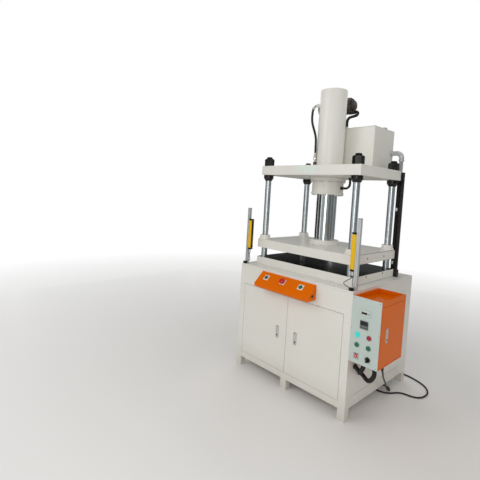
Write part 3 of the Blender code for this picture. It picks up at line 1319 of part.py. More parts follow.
def control_box():
    """Box on the cabinet's right side: tray on top, front panel with its controls, side door."""
    margin = BOX_DOOR_MARGIN
    shell = box("control_box", (BOX_LEFT, BOX_FRONT, BOX_BOTTOM), (BOX_RIGHT, BOX_BACK, BOX_TOP), ORANGE)
    ceiling = BOX_TOP - TRAY_DEPTH - BOX_SHEET
    hollow = box(
        "box_hollow", (BOX_LEFT + BOX_SHEET, BOX_FRONT + BOX_SHEET, BOX_BOTTOM + BOX_SHEET),
        (BOX_RIGHT - BOX_SHEET, BOX_BACK - BOX_SHEET, ceiling), None
    )
    tray = box(
        "tray_hollow", (BOX_LEFT + TRAY_RIM, BOX_FRONT + TRAY_RIM, BOX_TOP - TRAY_DEPTH),
        (BOX_RIGHT - TRAY_RIM, BOX_BACK - TRAY_RIM, BOX_TOP + TRAY_DEPTH), None
    )
    front = box(
        "box_front_opening", (BOX_LEFT + PANEL_MARGIN, BOX_FRONT - PANEL_T, BOX_BOTTOM + PANEL_MARGIN),
        (BOX_RIGHT - PANEL_MARGIN, BOX_FRONT + 2 * BOX_SHEET, ceiling - PANEL_MARGIN), None
    )
    door_low = Vector((BOX_RIGHT - BOX_DOOR_FOLD, BOX_FRONT + margin, BOX_BOTTOM + margin))
    door_high = Vector((BOX_RIGHT, BOX_BACK - margin, BOX_TOP - BOX_DOOR_TOP_MARGIN))
    play = Vector((0.0, BOX_DOOR_PLAY, BOX_DOOR_PLAY))
    side = box(
        "box_side_opening", door_low - play - Vector((BOX_SHEET, 0, 0)),
        door_high + play + Vector((BOX_SHEET, 0, 0)), None
    )
    cable_exit = Vector(CABLE_ROUTE[0]) + Vector((SIDE, 0.0, 0.0))
    hinge = (BOX_RIGHT - HINGE_INSET, door_high.y - HINGE_INSET, door_low.z)
    bracket_x = hinge[0] - BOX_SHEET - HINGE_PIN_R
    brackets = bmesh.new()
    pin_holes = bmesh.new()
    pins = bmesh.new()
    for edge, way in ((door_low.z, -1), (door_high.z, 1)):
        outer = edge + way * (BOX_DOOR_PLAY + BOX_SHEET)
        inner = edge + way * BOX_DOOR_PLAY
        block(
            brackets, (bracket_x, hinge[1] - 2 * HINGE_INSET, min(outer, inner)),
            (BOX_RIGHT - BOX_SHEET / 2, BOX_BACK - BOX_SHEET / 2, max(outer, inner))
        )
        rod(
            pin_holes, HINGE_PIN_R + SLIDE_FIT, (hinge[0], hinge[1], edge),
            (hinge[0], hinge[1], outer + way * BOX_SHEET), SMALL
        )
        rod(
            pins, HINGE_PIN_R, (hinge[0], hinge[1], edge - way * DOOR_SHEET / 2),
            (hinge[0], hinge[1], outer), SMALL
        )
    cut(shell, hollow, tray, front, side)
    fuse(shell, place("box_hinge_brackets", brackets, None))
    cut(shell, place("box_pin_holes", pin_holes, None))
    glands = bmesh.new()
    rod(
        glands, CABLE_GLAND_R, (cable_exit.x, cable_exit.y, BOX_BOTTOM - CABLE_GLAND_LENGTH),
        (cable_exit.x, cable_exit.y, BOX_BOTTOM + BOX_SHEET / 2), SMALL
    )
    fuse(shell, place("cable_gland", glands, None))

    empty = joint_empty("control_box_door_axis", hinge)
    door = pan("control_box_door", door_low, door_high, (-1, 0, 0), DOOR_SHEET, ORANGE, hinge, empty)
    fuse(door, place("box_door_pins", pins, None, hinge, empty))
    centre = Vector((BOX_RIGHT, BOX_FRONT + SIDE_LOCK_FROM_FRONT, BOX_BOTTOM + SIDE_LOCK_ABOVE_BOTTOM))
    lock_housing(door, centre, (1, 0, 0), "lock_side")
    lock_handle("lock_side", centre, (1, 0, 0))

    panel = box("control_panel", (BOX_LEFT, 0.0, BOX_BOTTOM), (BOX_RIGHT, PANEL_T, BOX_TOP), PANEL_GREY)
    soften(panel, 0.0006)
    raised = bmesh.new()
    x = BOX_LEFT + COUNTER_FROM_LEFT
    for (width, height), rise in ((COUNTER_SIZE, COUNTER_ABOVE_BOTTOM), (TIMER_SIZE, TIMER_ABOVE_BOTTOM)):
        z = BOX_BOTTOM + rise
        block(
            raised, (x - width / 2, -INSTRUMENT_PROUD, z - height / 2),
            (x + width / 2, PANEL_T / 2, z + height / 2)
        )
    holes = bmesh.new()
    face = Vector((0.0, -1.0, 0.0))
    for row, z in enumerate(BUTTON_ROWS):
        for column, x in enumerate(BUTTON_COLUMNS):
            if (row, column) == (2, 0):
                continue
            bezel_ring(raised, (x, 0.0, z), face)
            rod(holes, CAP_R + SLIDE_FIT, (x, -CAP_STEM, z), (x, CAP_STEM, z), BUTTON_SIDES)
    x, z = BUTTON_COLUMNS[0], BUTTON_ROWS[2]
    width, height = ROCKER_SIZE
    frame = ROCKER_FRAME
    block(
        raised, (x - width / 2 - frame, -0.003, z - height / 2 - frame),
        (x + width / 2 + frame, PANEL_T / 2, z + height / 2 + frame)
    )
    block(holes, (x - width / 2, -CAP_STEM, z - height / 2), (x + width / 2, CAP_STEM, z + height / 2))
    fuse(panel, place("panel_raised", raised, None))
    cut(panel, place("panel_holes", holes, None))

    for name, row, column, material in (
        ("lamp_button", 0, 0, CYAN), ("stop_button", 0, 1, RED),
        ("up_button", 1, 0, GREEN), ("down_button", 1, 1, GREEN),
    ):
        push_cap(name, (BUTTON_COLUMNS[column], 0.0, BUTTON_ROWS[row]), face, name + "_axis", material)

    centre = (BUTTON_COLUMNS[1], 0.0, BUTTON_ROWS[2])
    empty = joint_empty("mode_selector_axis", centre)
    knob = turned("mode_selector", [
        (0.0, BEZEL_PROUD + 0.006), (CAP_R - 0.001, BEZEL_PROUD + 0.006), (CAP_R, BEZEL_PROUD + 0.005),
        (CAP_R, -CAP_STEM), (0.0, -CAP_STEM),
    ], BLACK_ABS, centre, BUTTON_SIDES, empty, axis="-Y")
    grip = box(
        "selector_grip",
        (centre[0] - KNOB_GRIP_WIDTH / 2, -BEZEL_PROUD - 0.005 - KNOB_GRIP, centre[2] - KNOB_R * 0.92),
        (centre[0] + KNOB_GRIP_WIDTH / 2, -BEZEL_PROUD - 0.004, centre[2] + KNOB_R * 0.92),
        None, centre, empty
    )
    fuse(knob, grip)

    play = 0.0005
    pivot = (x, 0.001, z)
    empty = joint_empty("power_rocker_axis", pivot)
    bm = bmesh.new()
    tilt = 0.0035
    outline = (
        (-0.0025 - tilt, z + height / 2 - play - 0.0012), (-0.0025, z),
        (-0.0025 - tilt * 0.2, z - height / 2 + play),
        (ROCKER_T, z - height / 2 + play + 0.003), (ROCKER_T, z + height / 2 - play - 0.003),
    )
    corners = [bm.verts.new((x - width / 2 + play, y, point_z)) for y, point_z in outline]
    side_face = bm.faces.new(corners)
    grown = bmesh.ops.extrude_face_region(bm, geom=[side_face])["geom"]
    moved = [item for item in grown if isinstance(item, bmesh.types.BMVert)]
    bmesh.ops.translate(bm, verts=moved, vec=(width - 2 * play, 0.0, 0.0))
    bmesh.ops.recalc_face_normals(bm, faces=bm.faces)
    place("power_rocker", bm, RED, pivot, empty)


def box_conduits():
    """Two corrugated conduits that leave the box's floor and turn into the cabinet's side."""
    wall = SIDE + GAP
    for name, turn, y, drop, aft in CONDUITS:
        start = Vector((BOX_LEFT + turn, y, BOX_BOTTOM - GAP))
        route = smooth_route((
            start, start + Vector((0.0, 0.0, -0.020)),
            start + Vector((-0.004, aft * 0.15, -drop * 0.72)),
            start + Vector((-turn * 0.36, aft * 0.5, -drop - 0.016)),
            start + Vector((-turn * 0.75, aft * 0.9, -drop - 0.004)),
            Vector((wall + 0.012, y + aft, BOX_BOTTOM - drop)), Vector((wall, y + aft, BOX_BOTTOM - drop)),
        ), 0.014)
        tube(name, route, CONDUIT_R, RUBBER)


def power_cable():
    """Power cable from its gland to the floor, the coil of its unseen length, and the plug."""
    x, y = SIDE - COIL_FROM_RIGHT, COIL_Y
    wide = COIL_SECTION_W / 2
    lead_r = COIL_R + COIL_LEAD_OUTSIDE
    lead_y = y - lead_r
    lead_x = x + sqrt((COIL_R + wide) ** 2 - (lead_r - CABLE_R) ** 2) + GAP
    low_z = CABLE_R + 0.0005
    mouth = BOX_BOTTOM - CABLE_GLAND_LENGTH - GAP
    drop = (mouth - low_z) / (CABLE_ROUTE[0][2] - low_z)
    points = [
        (SIDE + across, along, low_z + (height - low_z) * drop) for across, along, height in CABLE_ROUTE
    ]
    points += [(lead_x + 0.045, lead_y, low_z), (lead_x, lead_y, low_z)]
    tube("power_cable", smooth_route(points, 0.032), CABLE_R, RUBBER)
    corner = 0.006
    low = GAP
    high = low + COIL_SECTION_H
    turned("power_coil", [
        (COIL_R + wide - corner, high), (COIL_R + wide, high - corner), (COIL_R + wide, low + corner),
        (COIL_R + wide - corner, low), (COIL_R - wide + corner, low), (COIL_R - wide, low + corner),
        (COIL_R - wide, high - corner), (COIL_R - wide + corner, high),
    ], RUBBER, (x, y, 0.0), FINE, ring=True)
    collar = CABLE_R * 1.5
    plug_x = x - sqrt((COIL_R + wide) ** 2 - (lead_r - collar) ** 2) - GAP
    turned("power_plug", [
        (0.0, POWER_PLUG_LENGTH), (POWER_PLUG_R, POWER_PLUG_LENGTH), (POWER_PLUG_R, POWER_PLUG_LENGTH * 0.45),
        (POWER_PLUG_R * 0.8, POWER_PLUG_LENGTH * 0.35), (CABLE_R * 1.7, POWER_PLUG_LENGTH * 0.05),
        (collar, 0.0), (0.0, 0.0),
    ], BLACK_ABS, (plug_x, lead_y, POWER_PLUG_R + GAP), ROUND, axis=(-1.0, 0.0, 0.0))


cabinet()
doors()
plates()
columns()
hydraulic_cylinder()
moving_head()
oil_tank()
hoses()
limit_rail()
light_curtains()
console()
control_box()
box_conduits()
power_cable()
bpy.context.view_layer.update()
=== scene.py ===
"""A four-column hydraulic press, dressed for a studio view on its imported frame.

Pieces are drawn in the machine's own coordinates: X = 0 on the press centre line, Y = 0 on the
cabinet's front, Z = 0 on the floor. MACHINE is that point's place in the frame. Sizes are in metres.
"""

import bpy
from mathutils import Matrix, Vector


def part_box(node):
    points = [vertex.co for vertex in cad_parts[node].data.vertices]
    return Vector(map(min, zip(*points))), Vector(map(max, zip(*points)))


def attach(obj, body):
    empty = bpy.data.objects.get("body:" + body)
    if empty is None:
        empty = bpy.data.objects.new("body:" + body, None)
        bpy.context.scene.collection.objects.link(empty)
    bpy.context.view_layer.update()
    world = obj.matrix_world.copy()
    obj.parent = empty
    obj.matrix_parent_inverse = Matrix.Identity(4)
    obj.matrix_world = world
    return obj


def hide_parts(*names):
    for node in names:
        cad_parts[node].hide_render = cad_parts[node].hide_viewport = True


bl_info = {
    "name": "Hydraulic press dressing",
    "version": (1, 0, 0),
    "blender": (4, 5, 0),
    "location": "3D View > Sidebar > Press",
    "description": "Finishes, fine pieces, lead, stage and camera of a four-column hydraulic press",
    "category": "Object",
}

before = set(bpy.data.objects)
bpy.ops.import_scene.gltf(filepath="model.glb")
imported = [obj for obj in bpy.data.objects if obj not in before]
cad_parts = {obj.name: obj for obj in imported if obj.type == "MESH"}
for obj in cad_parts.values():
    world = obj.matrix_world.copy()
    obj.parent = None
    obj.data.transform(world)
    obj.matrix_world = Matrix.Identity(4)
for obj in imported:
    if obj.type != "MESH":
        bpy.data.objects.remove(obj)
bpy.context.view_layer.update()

from math import cos, pi, radians, sin, sqrt

import bmesh
import bpy
from bpy.props import FloatProperty, FloatVectorProperty, PointerProperty
from mathutils import Matrix, Vector

SHELL_LOW, SHELL_HIGH = (Vector(corner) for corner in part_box("cabinet_shell"))
MACHINE = Vector(((SHELL_LOW.x + SHELL_HIGH.x) / 2, SHELL_LOW.y, 0.0))
GAP = 0.0003
MERGE = 0.000001
FIXED = "press_frame"
HEAD = "head"
ALONG = Vector((1.0, 0.0, 0.0))
FRONT = Vector((0.0, -1.0, 0.0))
UP = Vector((0.0, 0.0, 1.0))
ORIGIN = (0.0, 0.0, 0.0)


def from_hex(code):
    """An sRGB hex colour as linear red, green, blue and alpha."""
    shares = [int(code[place:place + 2], 16) / 255 for place in (1, 3, 5)]
    linear = [share / 12.92 if share <= 0.04045 else ((share + 0.055) / 1.055) ** 2.4 for share in shares]
    return (*linear, 1.0)


def colour_property(label, about, code):
    return FloatVectorProperty(
        name=label, description=about, default=from_hex(code), size=4, min=0.0, max=1.0, subtype="COLOR"
    )


def length_property(label, about, size):
    return FloatProperty(
        name=label, description=about, default=size, min=0.0, unit="LENGTH", subtype="DISTANCE", precision=4
    )


class PressFinishes(bpy.types.PropertyGroup):
    """Colours that a user would change."""
    cabinet: colour_property("Cabinet", "Enamel of the cabinet, plates, cylinder and tank", "#E6E4DC")
    controls: colour_property("Controls", "Enamel of the console and the control box", "#E36A00")
    guards: colour_property("Guards", "Enamel of the light-curtain bars", "#EBBB0E")
    front: colour_property("Panel", "Enamel of the control panel", "#C3CFC9")
    start: colour_property("Start", "Caps of the start, up and down buttons", "#0E6B52")
    stop: colour_property("Stop", "Mushroom of the emergency stop", "#C30F22")
    lamp: colour_property("Lamp", "Lens of the lamp button", "#37D6CC")


class PressSizes(bpy.types.PropertyGroup):
    """Sizes of the fine pieces that a user would change."""
    sheet_edge: length_property("Sheet edge", "Radius of the folded sheet's edges", 0.0018)
    plate_edge: length_property("Plate edge", "Radius of the small pieces' edges", 0.0008)
    button_plate: length_property("Button plate", "Side of the square plate under a console button", 0.042)
    ridge_pitch: length_property("Ridge pitch", "Distance between the conduit's ridges", 0.0042)
    screw_head: length_property("Screw head", "Radius of the panel's screw heads", 0.0032)


def sizes():
    return bpy.context.scene.press_sizes


def finishes():
    return bpy.context.scene.press_finishes


# Materials


def add_node(tree, kind, values=None, links=None, **attributes):
    """Add a node: attributes are its settings, values its open sockets, links its joined ones."""
    node = tree.nodes.new(kind)
    for key, value in attributes.items():
        setattr(node, key, value)
    for key, value in (values or {}).items():
        node.inputs[key].default_value = value
    for key, socket in (links or {}).items():
        tree.links.new(socket, node.inputs[key])
    return node


def shade_of(colour, share):
    """A colour at another lightness."""
    return tuple(channel * share for channel in colour[:3]) + (1.0,)


def new_material(name, colour, roughness, metallic=0.0, **sockets):
    """A material with its shader's uniform values set; returns it, its tree and its shader."""
    material = bpy.data.materials.new(name)
    material.use_nodes = True
    tree = material.node_tree
    shader = tree.nodes["Principled BSDF"]
    shader.inputs["Base Color"].default_value = colour
    shader.inputs["Roughness"].default_value = roughness
    shader.inputs["Metallic"].default_value = metallic
    for key, value in sockets.items():
        shader.inputs[key.replace("_", " ")].default_value = value
    material.diffuse_color = colour
    return material, tree, shader


def object_noise(tree, size_mm, detail=2.0, stretch=(1.0, 1.0, 1.0)):
    """Noise in object coordinates whose patches are about size_mm across, stretched per axis."""
    spot = add_node(tree, "ShaderNodeTexCoord").outputs["Object"]
    scaled = add_node(tree, "ShaderNodeMapping", {"Scale": stretch}, {"Vector": spot})
    return add_node(
        tree, "ShaderNodeTexNoise", {"Scale": 1000.0 / size_mm, "Detail": detail, "Roughness": 0.55},
        {"Vector": scaled.outputs["Vector"]}
    ).outputs["Fac"]


def spread(tree, factor, low, high, start=0.35, end=0.65):
    """Map a factor's middle span to a range of values."""
    return add_node(
        tree, "ShaderNodeMapRange",
        {"From Min": start, "From Max": end, "To Min": low, "To Max": high}, {"Value": factor}
    ).outputs["Result"]


def blend_colours(tree, factor, first, second):
    """Mix two colours, or a colour over a socket, by a factor."""
    node = add_node(tree, "ShaderNodeMix", {}, {0: factor}, data_type="RGBA")
    for place, side in ((6, first), (7, second)):
        if isinstance(side, tuple):
            node.inputs[place].default_value = side
        else:
            tree.links.new(side, node.inputs[place])
    return node.outputs[2]


def bump(tree, shader, height, depth_mm, strength=1.0):
    """Raise a surface by a height factor, depth_mm deep."""
    node = add_node(
        tree, "ShaderNodeBump", {"Strength": strength, "Distance": depth_mm / 1000.0}, {"Height": height}
    )
    tree.links.new(node.outputs["Normal"], shader.inputs["Normal"])


def clouded(name, code, second, roughness, metallic=0.0, cloud=(14.0, 4.0), sheen=None, relief=None):
    """A material whose colour drifts to a second one.

    cloud is the drift's size in mm and detail, with its span where it isn't the usual one; sheen a
    size, detail, lowest and highest roughness; relief a size, detail, depth in mm and strength.
    """
    colour = from_hex(code)
    material, tree, shader = new_material(name, colour, roughness, metallic)
    drift = spread(tree, object_noise(tree, *cloud[:2]), 0.0, 1.0, *cloud[2:])
    tree.links.new(blend_colours(tree, drift, colour, from_hex(second)), shader.inputs["Base Color"])
    if sheen:
        gloss = spread(tree, object_noise(tree, *sheen[:2]), *sheen[2:])
        tree.links.new(gloss, shader.inputs["Roughness"])
    if relief:
        bump(tree, shader, object_noise(tree, *relief[:2]), *relief[2:])
    return material


def enamel(name, colour, roughness, peel_mm=2.2, relief_mm=0.01, dusty_and_shaded=False, **sockets):
    """Sprayed and baked enamel: faint clouds in colour and gloss, a fine orange peel, and dust with painted
    shade low down.
    """
    material, tree, shader = new_material(name, colour, roughness, **sockets)
    cloud = spread(tree, object_noise(tree, 260.0, 1.0), 0.0, 1.0, 0.15, 0.85)
    shade = blend_colours(tree, cloud, shade_of(colour, 0.965), colour)
    if dusty_and_shaded:
        # Darker towards the floor: dust, deepened into painted shade of the light falling off low down
        spot = add_node(tree, "ShaderNodeTexCoord").outputs["Object"]
        height = add_node(tree, "ShaderNodeSeparateXYZ", {}, {"Vector": spot}).outputs["Z"]
        low = spread(tree, height, 0.55, 0.0, 0.0, 0.22)
        patch = spread(tree, object_noise(tree, 60.0, 3.0), 0.5, 1.0, 0.2, 0.8)
        dust_and_shade = add_node(tree, "ShaderNodeMath", {}, {0: low, 1: patch}, operation="MULTIPLY").outputs[0]
        shade = blend_colours(tree, dust_and_shade, shade, from_hex("#B9B0A2"))
    tree.links.new(shade, shader.inputs["Base Color"])
    gloss = spread(tree, cloud, roughness - 0.02, roughness + 0.03, 0.0, 1.0)
    tree.links.new(gloss, shader.inputs["Roughness"])
    bump(tree, shader, object_noise(tree, peel_mm, 1.0), relief_mm, 0.3)
    return material


def white_enamel():
    # Warm white enamel on folded sheet and plate: soft gloss, faint clouds, dust and painted shade near the
    # floor
    return enamel("white_enamel", tuple(finishes().cabinet), 0.3, 2.2, 0.005, dusty_and_shaded=True)


def orange_enamel():
    # Glossy orange enamel: the tray's floor mirrors its walls a little
    return enamel("orange_enamel", tuple(finishes().controls), 0.14, 4.0, 0.003, Specular_IOR_Level=0.12)


def yellow_enamel():
    # Yellow powder coat on the curtain bars: satin with a fine grain
    return enamel("yellow_powder_coat", tuple(finishes().guards), 0.38, 1.0, Specular_IOR_Level=0.3)


def panel_enamel():
    # Pale grey-green enamel on the panel's flat aluminium sheet
    return enamel("pale_panel_enamel", tuple(finishes().front), 0.3, 3.0, 0.01)


def black_enamel():
    # Black enamel on the rail, the motor and its bracket: satin, slightly dusty
    return clouded(
        "black_enamel", "#101010", "#1B1917", 0.38, 0.0, (30.0, 4.0), (12.0, 3.0, 0.34, 0.52),
        (1.6, 2.0, 0.06, 0.5)
    )


def black_oxide():
    # Blackened steel of nuts and collars: oily sheen with brownish patches
    return clouded(
        "black_oxide_steel", "#121211", "#1E1A17", 0.22, 0.2, (14.0, 4.0), (5.0, 3.0, 0.14, 0.28),
        (0.8, 2.0, 0.015, 0.3)
    )


def hard_chrome():
    # Ground and polished hard chrome of the ram: mirror bright, with very fine marks that run round it
    material, tree, shader = new_material("hard_chrome", from_hex("#DADDDE"), 0.09, 1.0)
    marks = object_noise(tree, 40.0, 2.0, (1.0, 1.0, 40.0))
    tree.links.new(spread(tree, marks, 0.08, 0.12), shader.inputs["Roughness"])
    return material


def ground_chrome():
    # Chromed guide columns, ground and rubbed by the bushes: bright, with a softer mirror
    material, tree, shader = new_material("ground_chrome", from_hex("#D3DADD"), 0.3, 1.0)
    rubbed = object_noise(tree, 90.0, 1.0, (1.0, 1.0, 0.4))
    tree.links.new(spread(tree, rubbed, 0.29, 0.33, 0.2, 0.8), shader.inputs["Roughness"])
    return material


def ground_steel():
    # Surface-ground tool steel of the press faces, oiled and dark: grinding marks along X, 1 mm apart
    colour = from_hex("#2E2B29")
    material, tree, shader = new_material("ground_steel", colour, 0.16, 0.9)
    marks = object_noise(tree, 60.0, 3.0, (1.0, 60.0, 1.0))
    stain = spread(tree, object_noise(tree, 70.0, 4.0), 0.0, 1.0)
    tree.links.new(blend_colours(tree, stain, colour, from_hex("#1F1C1A")), shader.inputs["Base Color"])
    tree.links.new(spread(tree, marks, 0.12, 0.24), shader.inputs["Roughness"])
    bump(tree, shader, marks, 0.006, 0.3)
    return material


def zinc_plate():
    # Zinc-plated steel: satin grey with faint cloudy passivation
    return clouded(
        "zinc_plated_steel", "#D2D1CB", "#BDBBB1", 0.3, 1.0, (9.0, 3.0), (4.0, 3.0, 0.24, 0.4)
    )


def satin_plate():
    # Satin nickel over die-cast zinc, of the lock dishes and pull bars: pale, with a soft sheen
    return clouded(
        "satin_nickel_plate", "#D6D6D1", "#C4C3BD", 0.34, 0.5, (8.0, 2.0), (3.0, 2.0, 0.28, 0.42)
    )


def painted_casting():
    # Grey-brown paint on the pump's rough sand casting, darker where oil has crept
    colour = from_hex("#4B443D")
    material, tree, shader = new_material("painted_casting", colour, 0.36)
    oil = spread(tree, object_noise(tree, 24.0, 4.0), 0.0, 1.0, 0.42, 0.62)
    tree.links.new(blend_colours(tree, oil, colour, from_hex("#26221E")), shader.inputs["Base Color"])
    tree.links.new(spread(tree, oil, 0.42, 0.24, 0.0, 1.0), shader.inputs["Roughness"])
    bump(tree, shader, object_noise(tree, 1.4, 3.0), 0.12, 0.6)
    return material


def brass():
    # Turned brass of the bleed plug and hose ends: warm, slightly tarnished
    return clouded("turned_brass", "#B79A5A", "#8F7846", 0.3, 1.0, (7.0, 3.0))


def galvanised():
    # Galvanised steel pipe: dull, with crystals some 5 mm across
    material, tree, shader = new_material("galvanised_steel", from_hex("#C6CACA"), 0.4, 0.5)
    spot = add_node(tree, "ShaderNodeTexCoord").outputs["Object"]
    cells = add_node(tree, "ShaderNodeTexVoronoi", {"Scale": 200.0}, {"Vector": spot}).outputs["Color"]
    value = add_node(tree, "ShaderNodeSeparateColor", {}, {"Color": cells}).outputs["Red"]
    tree.links.new(
        blend_colours(tree, value, from_hex("#B7BCBD"), from_hex("#DADDDD")), shader.inputs["Base Color"]
    )
    return material


def anodised():
    # Clear-anodised extrusion: satin, with die lines along its length, 0.5 mm apart
    colour = from_hex("#DDE0DF")
    material, tree, shader = new_material("anodised_aluminium", colour, 0.36, 0.55)
    lines = object_noise(tree, 40.0, 2.0, (60.0, 60.0, 1.0))
    shade = blend_colours(tree, spread(tree, lines, 0.0, 1.0), colour, from_hex("#CDD0D0"))
    tree.links.new(shade, shader.inputs["Base Color"])
    tree.links.new(spread(tree, lines, 0.28, 0.42), shader.inputs["Roughness"])
    return material


def hose_rubber():
    # Hose cover of wrapped nitrile rubber: matt black with the wrap's fine weave, 1 mm
    return clouded(
        "wrapped_rubber", "#0E0E0E", "#191817", 0.5, 0.0, (20.0, 3.0), None, (1.0, 1.0, 0.12, 0.6)
    )


def pvc_sheath():
    # Black PVC sheath of leads and conduit: smooth, low gloss
    return clouded(
        "pvc_sheath", "#090909", "#171614", 0.36, 0.0, (18.0, 4.0, 0.45, 0.75), (8.0, 2.0, 0.33, 0.48)
    )


def moulded(name, code, roughness=0.3, **sockets):
    """Injection-moulded plastic: even colour with a trace of flow and a fine skin."""
    colour = from_hex(code) if isinstance(code, str) else tuple(code)
    material, tree, shader = new_material(name, colour, roughness, **sockets)
    cloud = spread(tree, object_noise(tree, 6.0, 2.0), 0.0, 1.0)
    tree.links.new(blend_colours(tree, cloud, shade_of(colour, 0.93), colour), shader.inputs["Base Color"])
    bump(tree, shader, object_noise(tree, 0.5, 1.0), 0.01, 0.4)
    return material


def green_abs():
    # Green ABS of the start, up and down caps and their bezels: a clean gloss
    return moulded("green_abs", finishes().start, 0.28)


def red_abs():
    # Red ABS of the emergency stop: glossier than the other caps
    return moulded("red_abs", finishes().stop, 0.24)


def crimson_abs():
    # Crimson ABS of the stop button and its bezel: a clean gloss
    return moulded("crimson_abs", "#A51B38", 0.28)


def lit_lens():
    # Tinted polycarbonate of the lamp button: glossy, with a faint light behind it
    lamp = tuple(finishes().lamp)
    return moulded("lit_lens", lamp, 0.22, Emission_Color=lamp, Emission_Strength=0.22)


def red_rocker():
    # Tinted polycarbonate of the power rocker: glossy, with a trace of its lamp
    glow = from_hex("#FF2B34")
    return moulded("red_rocker", "#A60E1C", 0.25, Emission_Color=glow, Emission_Strength=0.08)


def lit_rocker_lens():
    # The rocker's pale lens: bright from the lamp under it
    glow = from_hex("#FF8088")
    return moulded("lit_rocker_lens", "#F0707A", 0.3, Emission_Color=glow, Emission_Strength=0.9)


def black_abs():
    # Black ABS of the plug, nuts, caps and keys: a soft, low gloss
    return moulded("black_abs", "#0C0C0D", 0.3, Specular_IOR_Level=0.3)


def white_abs():
    # White ABS of the button plates, the sensors and the curtains' plugs: satin
    return moulded("white_abs", "#E2E2DC", 0.35)


def grey_abs():
    # Mid-grey ABS of the timer's lower face, the counter's key and a post cap: dull satin
    return moulded("grey_abs", "#7D827F", 0.4)


def slate_abs():
    # Slate-grey ABS of the timer's frame: satin
    return moulded("slate_abs", "#3A3D3C", 0.35)


def pale_grey_abs():
    # Pale grey-green ABS of the counter's frame: dull satin
    return moulded("pale_grey_abs", "#C9D1CB", 0.4)


def smoked_window_and_recess_shade():
    # Smoked acrylic of the dark readouts: near black, a sharp gloss. The same black is painted shade in the
    # fan grille's holes and the screw heads' slots
    return moulded("smoked_window_and_recess_shade", "#0C0E0E", 0.1)


def dark_red_acrylic():
    # Deep red acrylic along the curtain bars: almost black with a sharp gloss
    return moulded("dark_red_acrylic", "#241012", 0.12)


def pale_print_blank():
    # Pale plastic sheet of the blank plate: smooth, with a soft gloss
    return moulded("pale_print_blank", "#E2ECE2", 0.3)


MAKERS = {
    "white": white_enamel,
    "orange": orange_enamel,
    "yellow": yellow_enamel,
    "panel": panel_enamel,
    "black": black_enamel,
    "oxide": black_oxide,
    "chrome": hard_chrome,
    "bar": ground_chrome,
    "steel": ground_steel,
    "zinc": zinc_plate,
    "satin": satin_plate,
    "casting": painted_casting,
    "brass": brass,
    "galvanised": galvanised,
    "aluminium": anodised,
    "rubber": hose_rubber,
    "sheath": pvc_sheath,
    "green": green_abs,
    "red": red_abs,
    "crimson": crimson_abs,
    "lens": lit_lens,
    "rocker": red_rocker,
    "glow": lit_rocker_lens,
    "abs": black_abs,
    "white_abs": white_abs,
    "grey_abs": grey_abs,
    "slate_abs": slate_abs,
    "counter_abs": pale_grey_abs,
    "display": smoked_window_and_recess_shade,
    "window": dark_red_acrylic,
    "plate": pale_print_blank,
}
MADE = {}


def finish(key):
    """The material of that key, made on its first use."""
    if key not in MADE:
        MADE[key] = MAKERS[key]()
    return MADE[key]


# Mesh tools


def added(bm, before):
    """The points that a bmesh gained since a set of them was taken."""
    return [vert for vert in bm.verts if vert not in before]


def round_edges(bm, edges, width, segments=2):
    bmesh.ops.bevel(
        bm, geom=list(edges), offset=width, offset_type="OFFSET", affect="EDGES", segments=segments,
        profile=0.5, material=-1
    )


def lines_of(verts):
    """The edges that meet at some points."""
    return {line for vert in verts for line in vert.link_edges}


def block(bm, first, second, edge=0.0, segments=2):
    """A box between two opposite corners, with its edges rounded."""
    before = set(bm.verts)
    low = Vector([min(pair) for pair in zip(first, second)])
    high = Vector([max(pair) for pair in zip(first, second)])
    made = bmesh.ops.create_cube(bm, size=1.0)["verts"]
    bmesh.ops.scale(bm, verts=made, vec=high - low)
    bmesh.ops.translate(bm, verts=made, vec=(low + high) / 2)
    if edge:
        round_edges(bm, lines_of(made), edge, segments)
    return added(bm, before)


def rod(bm, radius, start, end, sides=32, end_radius=None, edge=0.0):
    """A cylinder or cone between two points, with its end edges rounded."""
    before = set(bm.verts)
    start = Vector(start)
    end = Vector(end)
    turn = UP.rotation_difference(end - start).to_matrix().to_4x4()
    made = bmesh.ops.create_cone(
        bm, cap_ends=True, segments=sides, radius1=radius, radius2=end_radius or radius,
        depth=(end - start).length, matrix=Matrix.Translation((start + end) / 2) @ turn
    )["verts"]
    if edge:
        rims = {line for line in lines_of(made) if any(len(face.verts) > 4 for face in line.link_faces)}
        round_edges(bm, rims, edge)
    return added(bm, before)


def turned(bm, profile, centre, axis=UP, steps=64):
    """Spin radius and height pairs a full turn about an axis through a point."""
    before = set(bm.verts)
    line = [bm.verts.new((radius, 0.0, height)) for radius, height in profile]
    edges = [bm.edges.new(pair) for pair in zip(line, line[1:])]
    bmesh.ops.spin(
        bm, geom=line + edges, cent=ORIGIN, axis=UP, dvec=ORIGIN, angle=2 * pi, steps=steps,
        use_merge=True, use_duplicate=False
    )
    bmesh.ops.remove_doubles(bm, verts=added(bm, before), dist=MERGE)
    made = added(bm, before)
    turn = UP.rotation_difference(Vector(axis)).to_matrix()
    bmesh.ops.rotate(bm, verts=made, cent=ORIGIN, matrix=turn)
    bmesh.ops.translate(bm, verts=made, vec=Vector(centre))
    return made


def ringed(bm, count, low, high, edge, centre, axis="X", start=0.0, keep=None):
    """Copies of a box set evenly round an axis through a point; keep picks them by angle."""
    for number in range(count):
        angle = 2 * pi * number / count
        if keep is None or keep(angle):
            made = block(bm, low, high, edge, 1)
            bmesh.ops.rotate(bm, verts=made, cent=ORIGIN, matrix=Matrix.Rotation(angle + start, 3, axis))
            bmesh.ops.translate(bm, verts=made, vec=centre)


def round_places(count, radius, start=0.0):
    """Pairs of offsets set evenly on a circle, from a share of one step onwards."""
    for number in range(count):
        angle = 2 * pi * (number + start) / count
        yield cos(angle) * radius, sin(angle) * radius


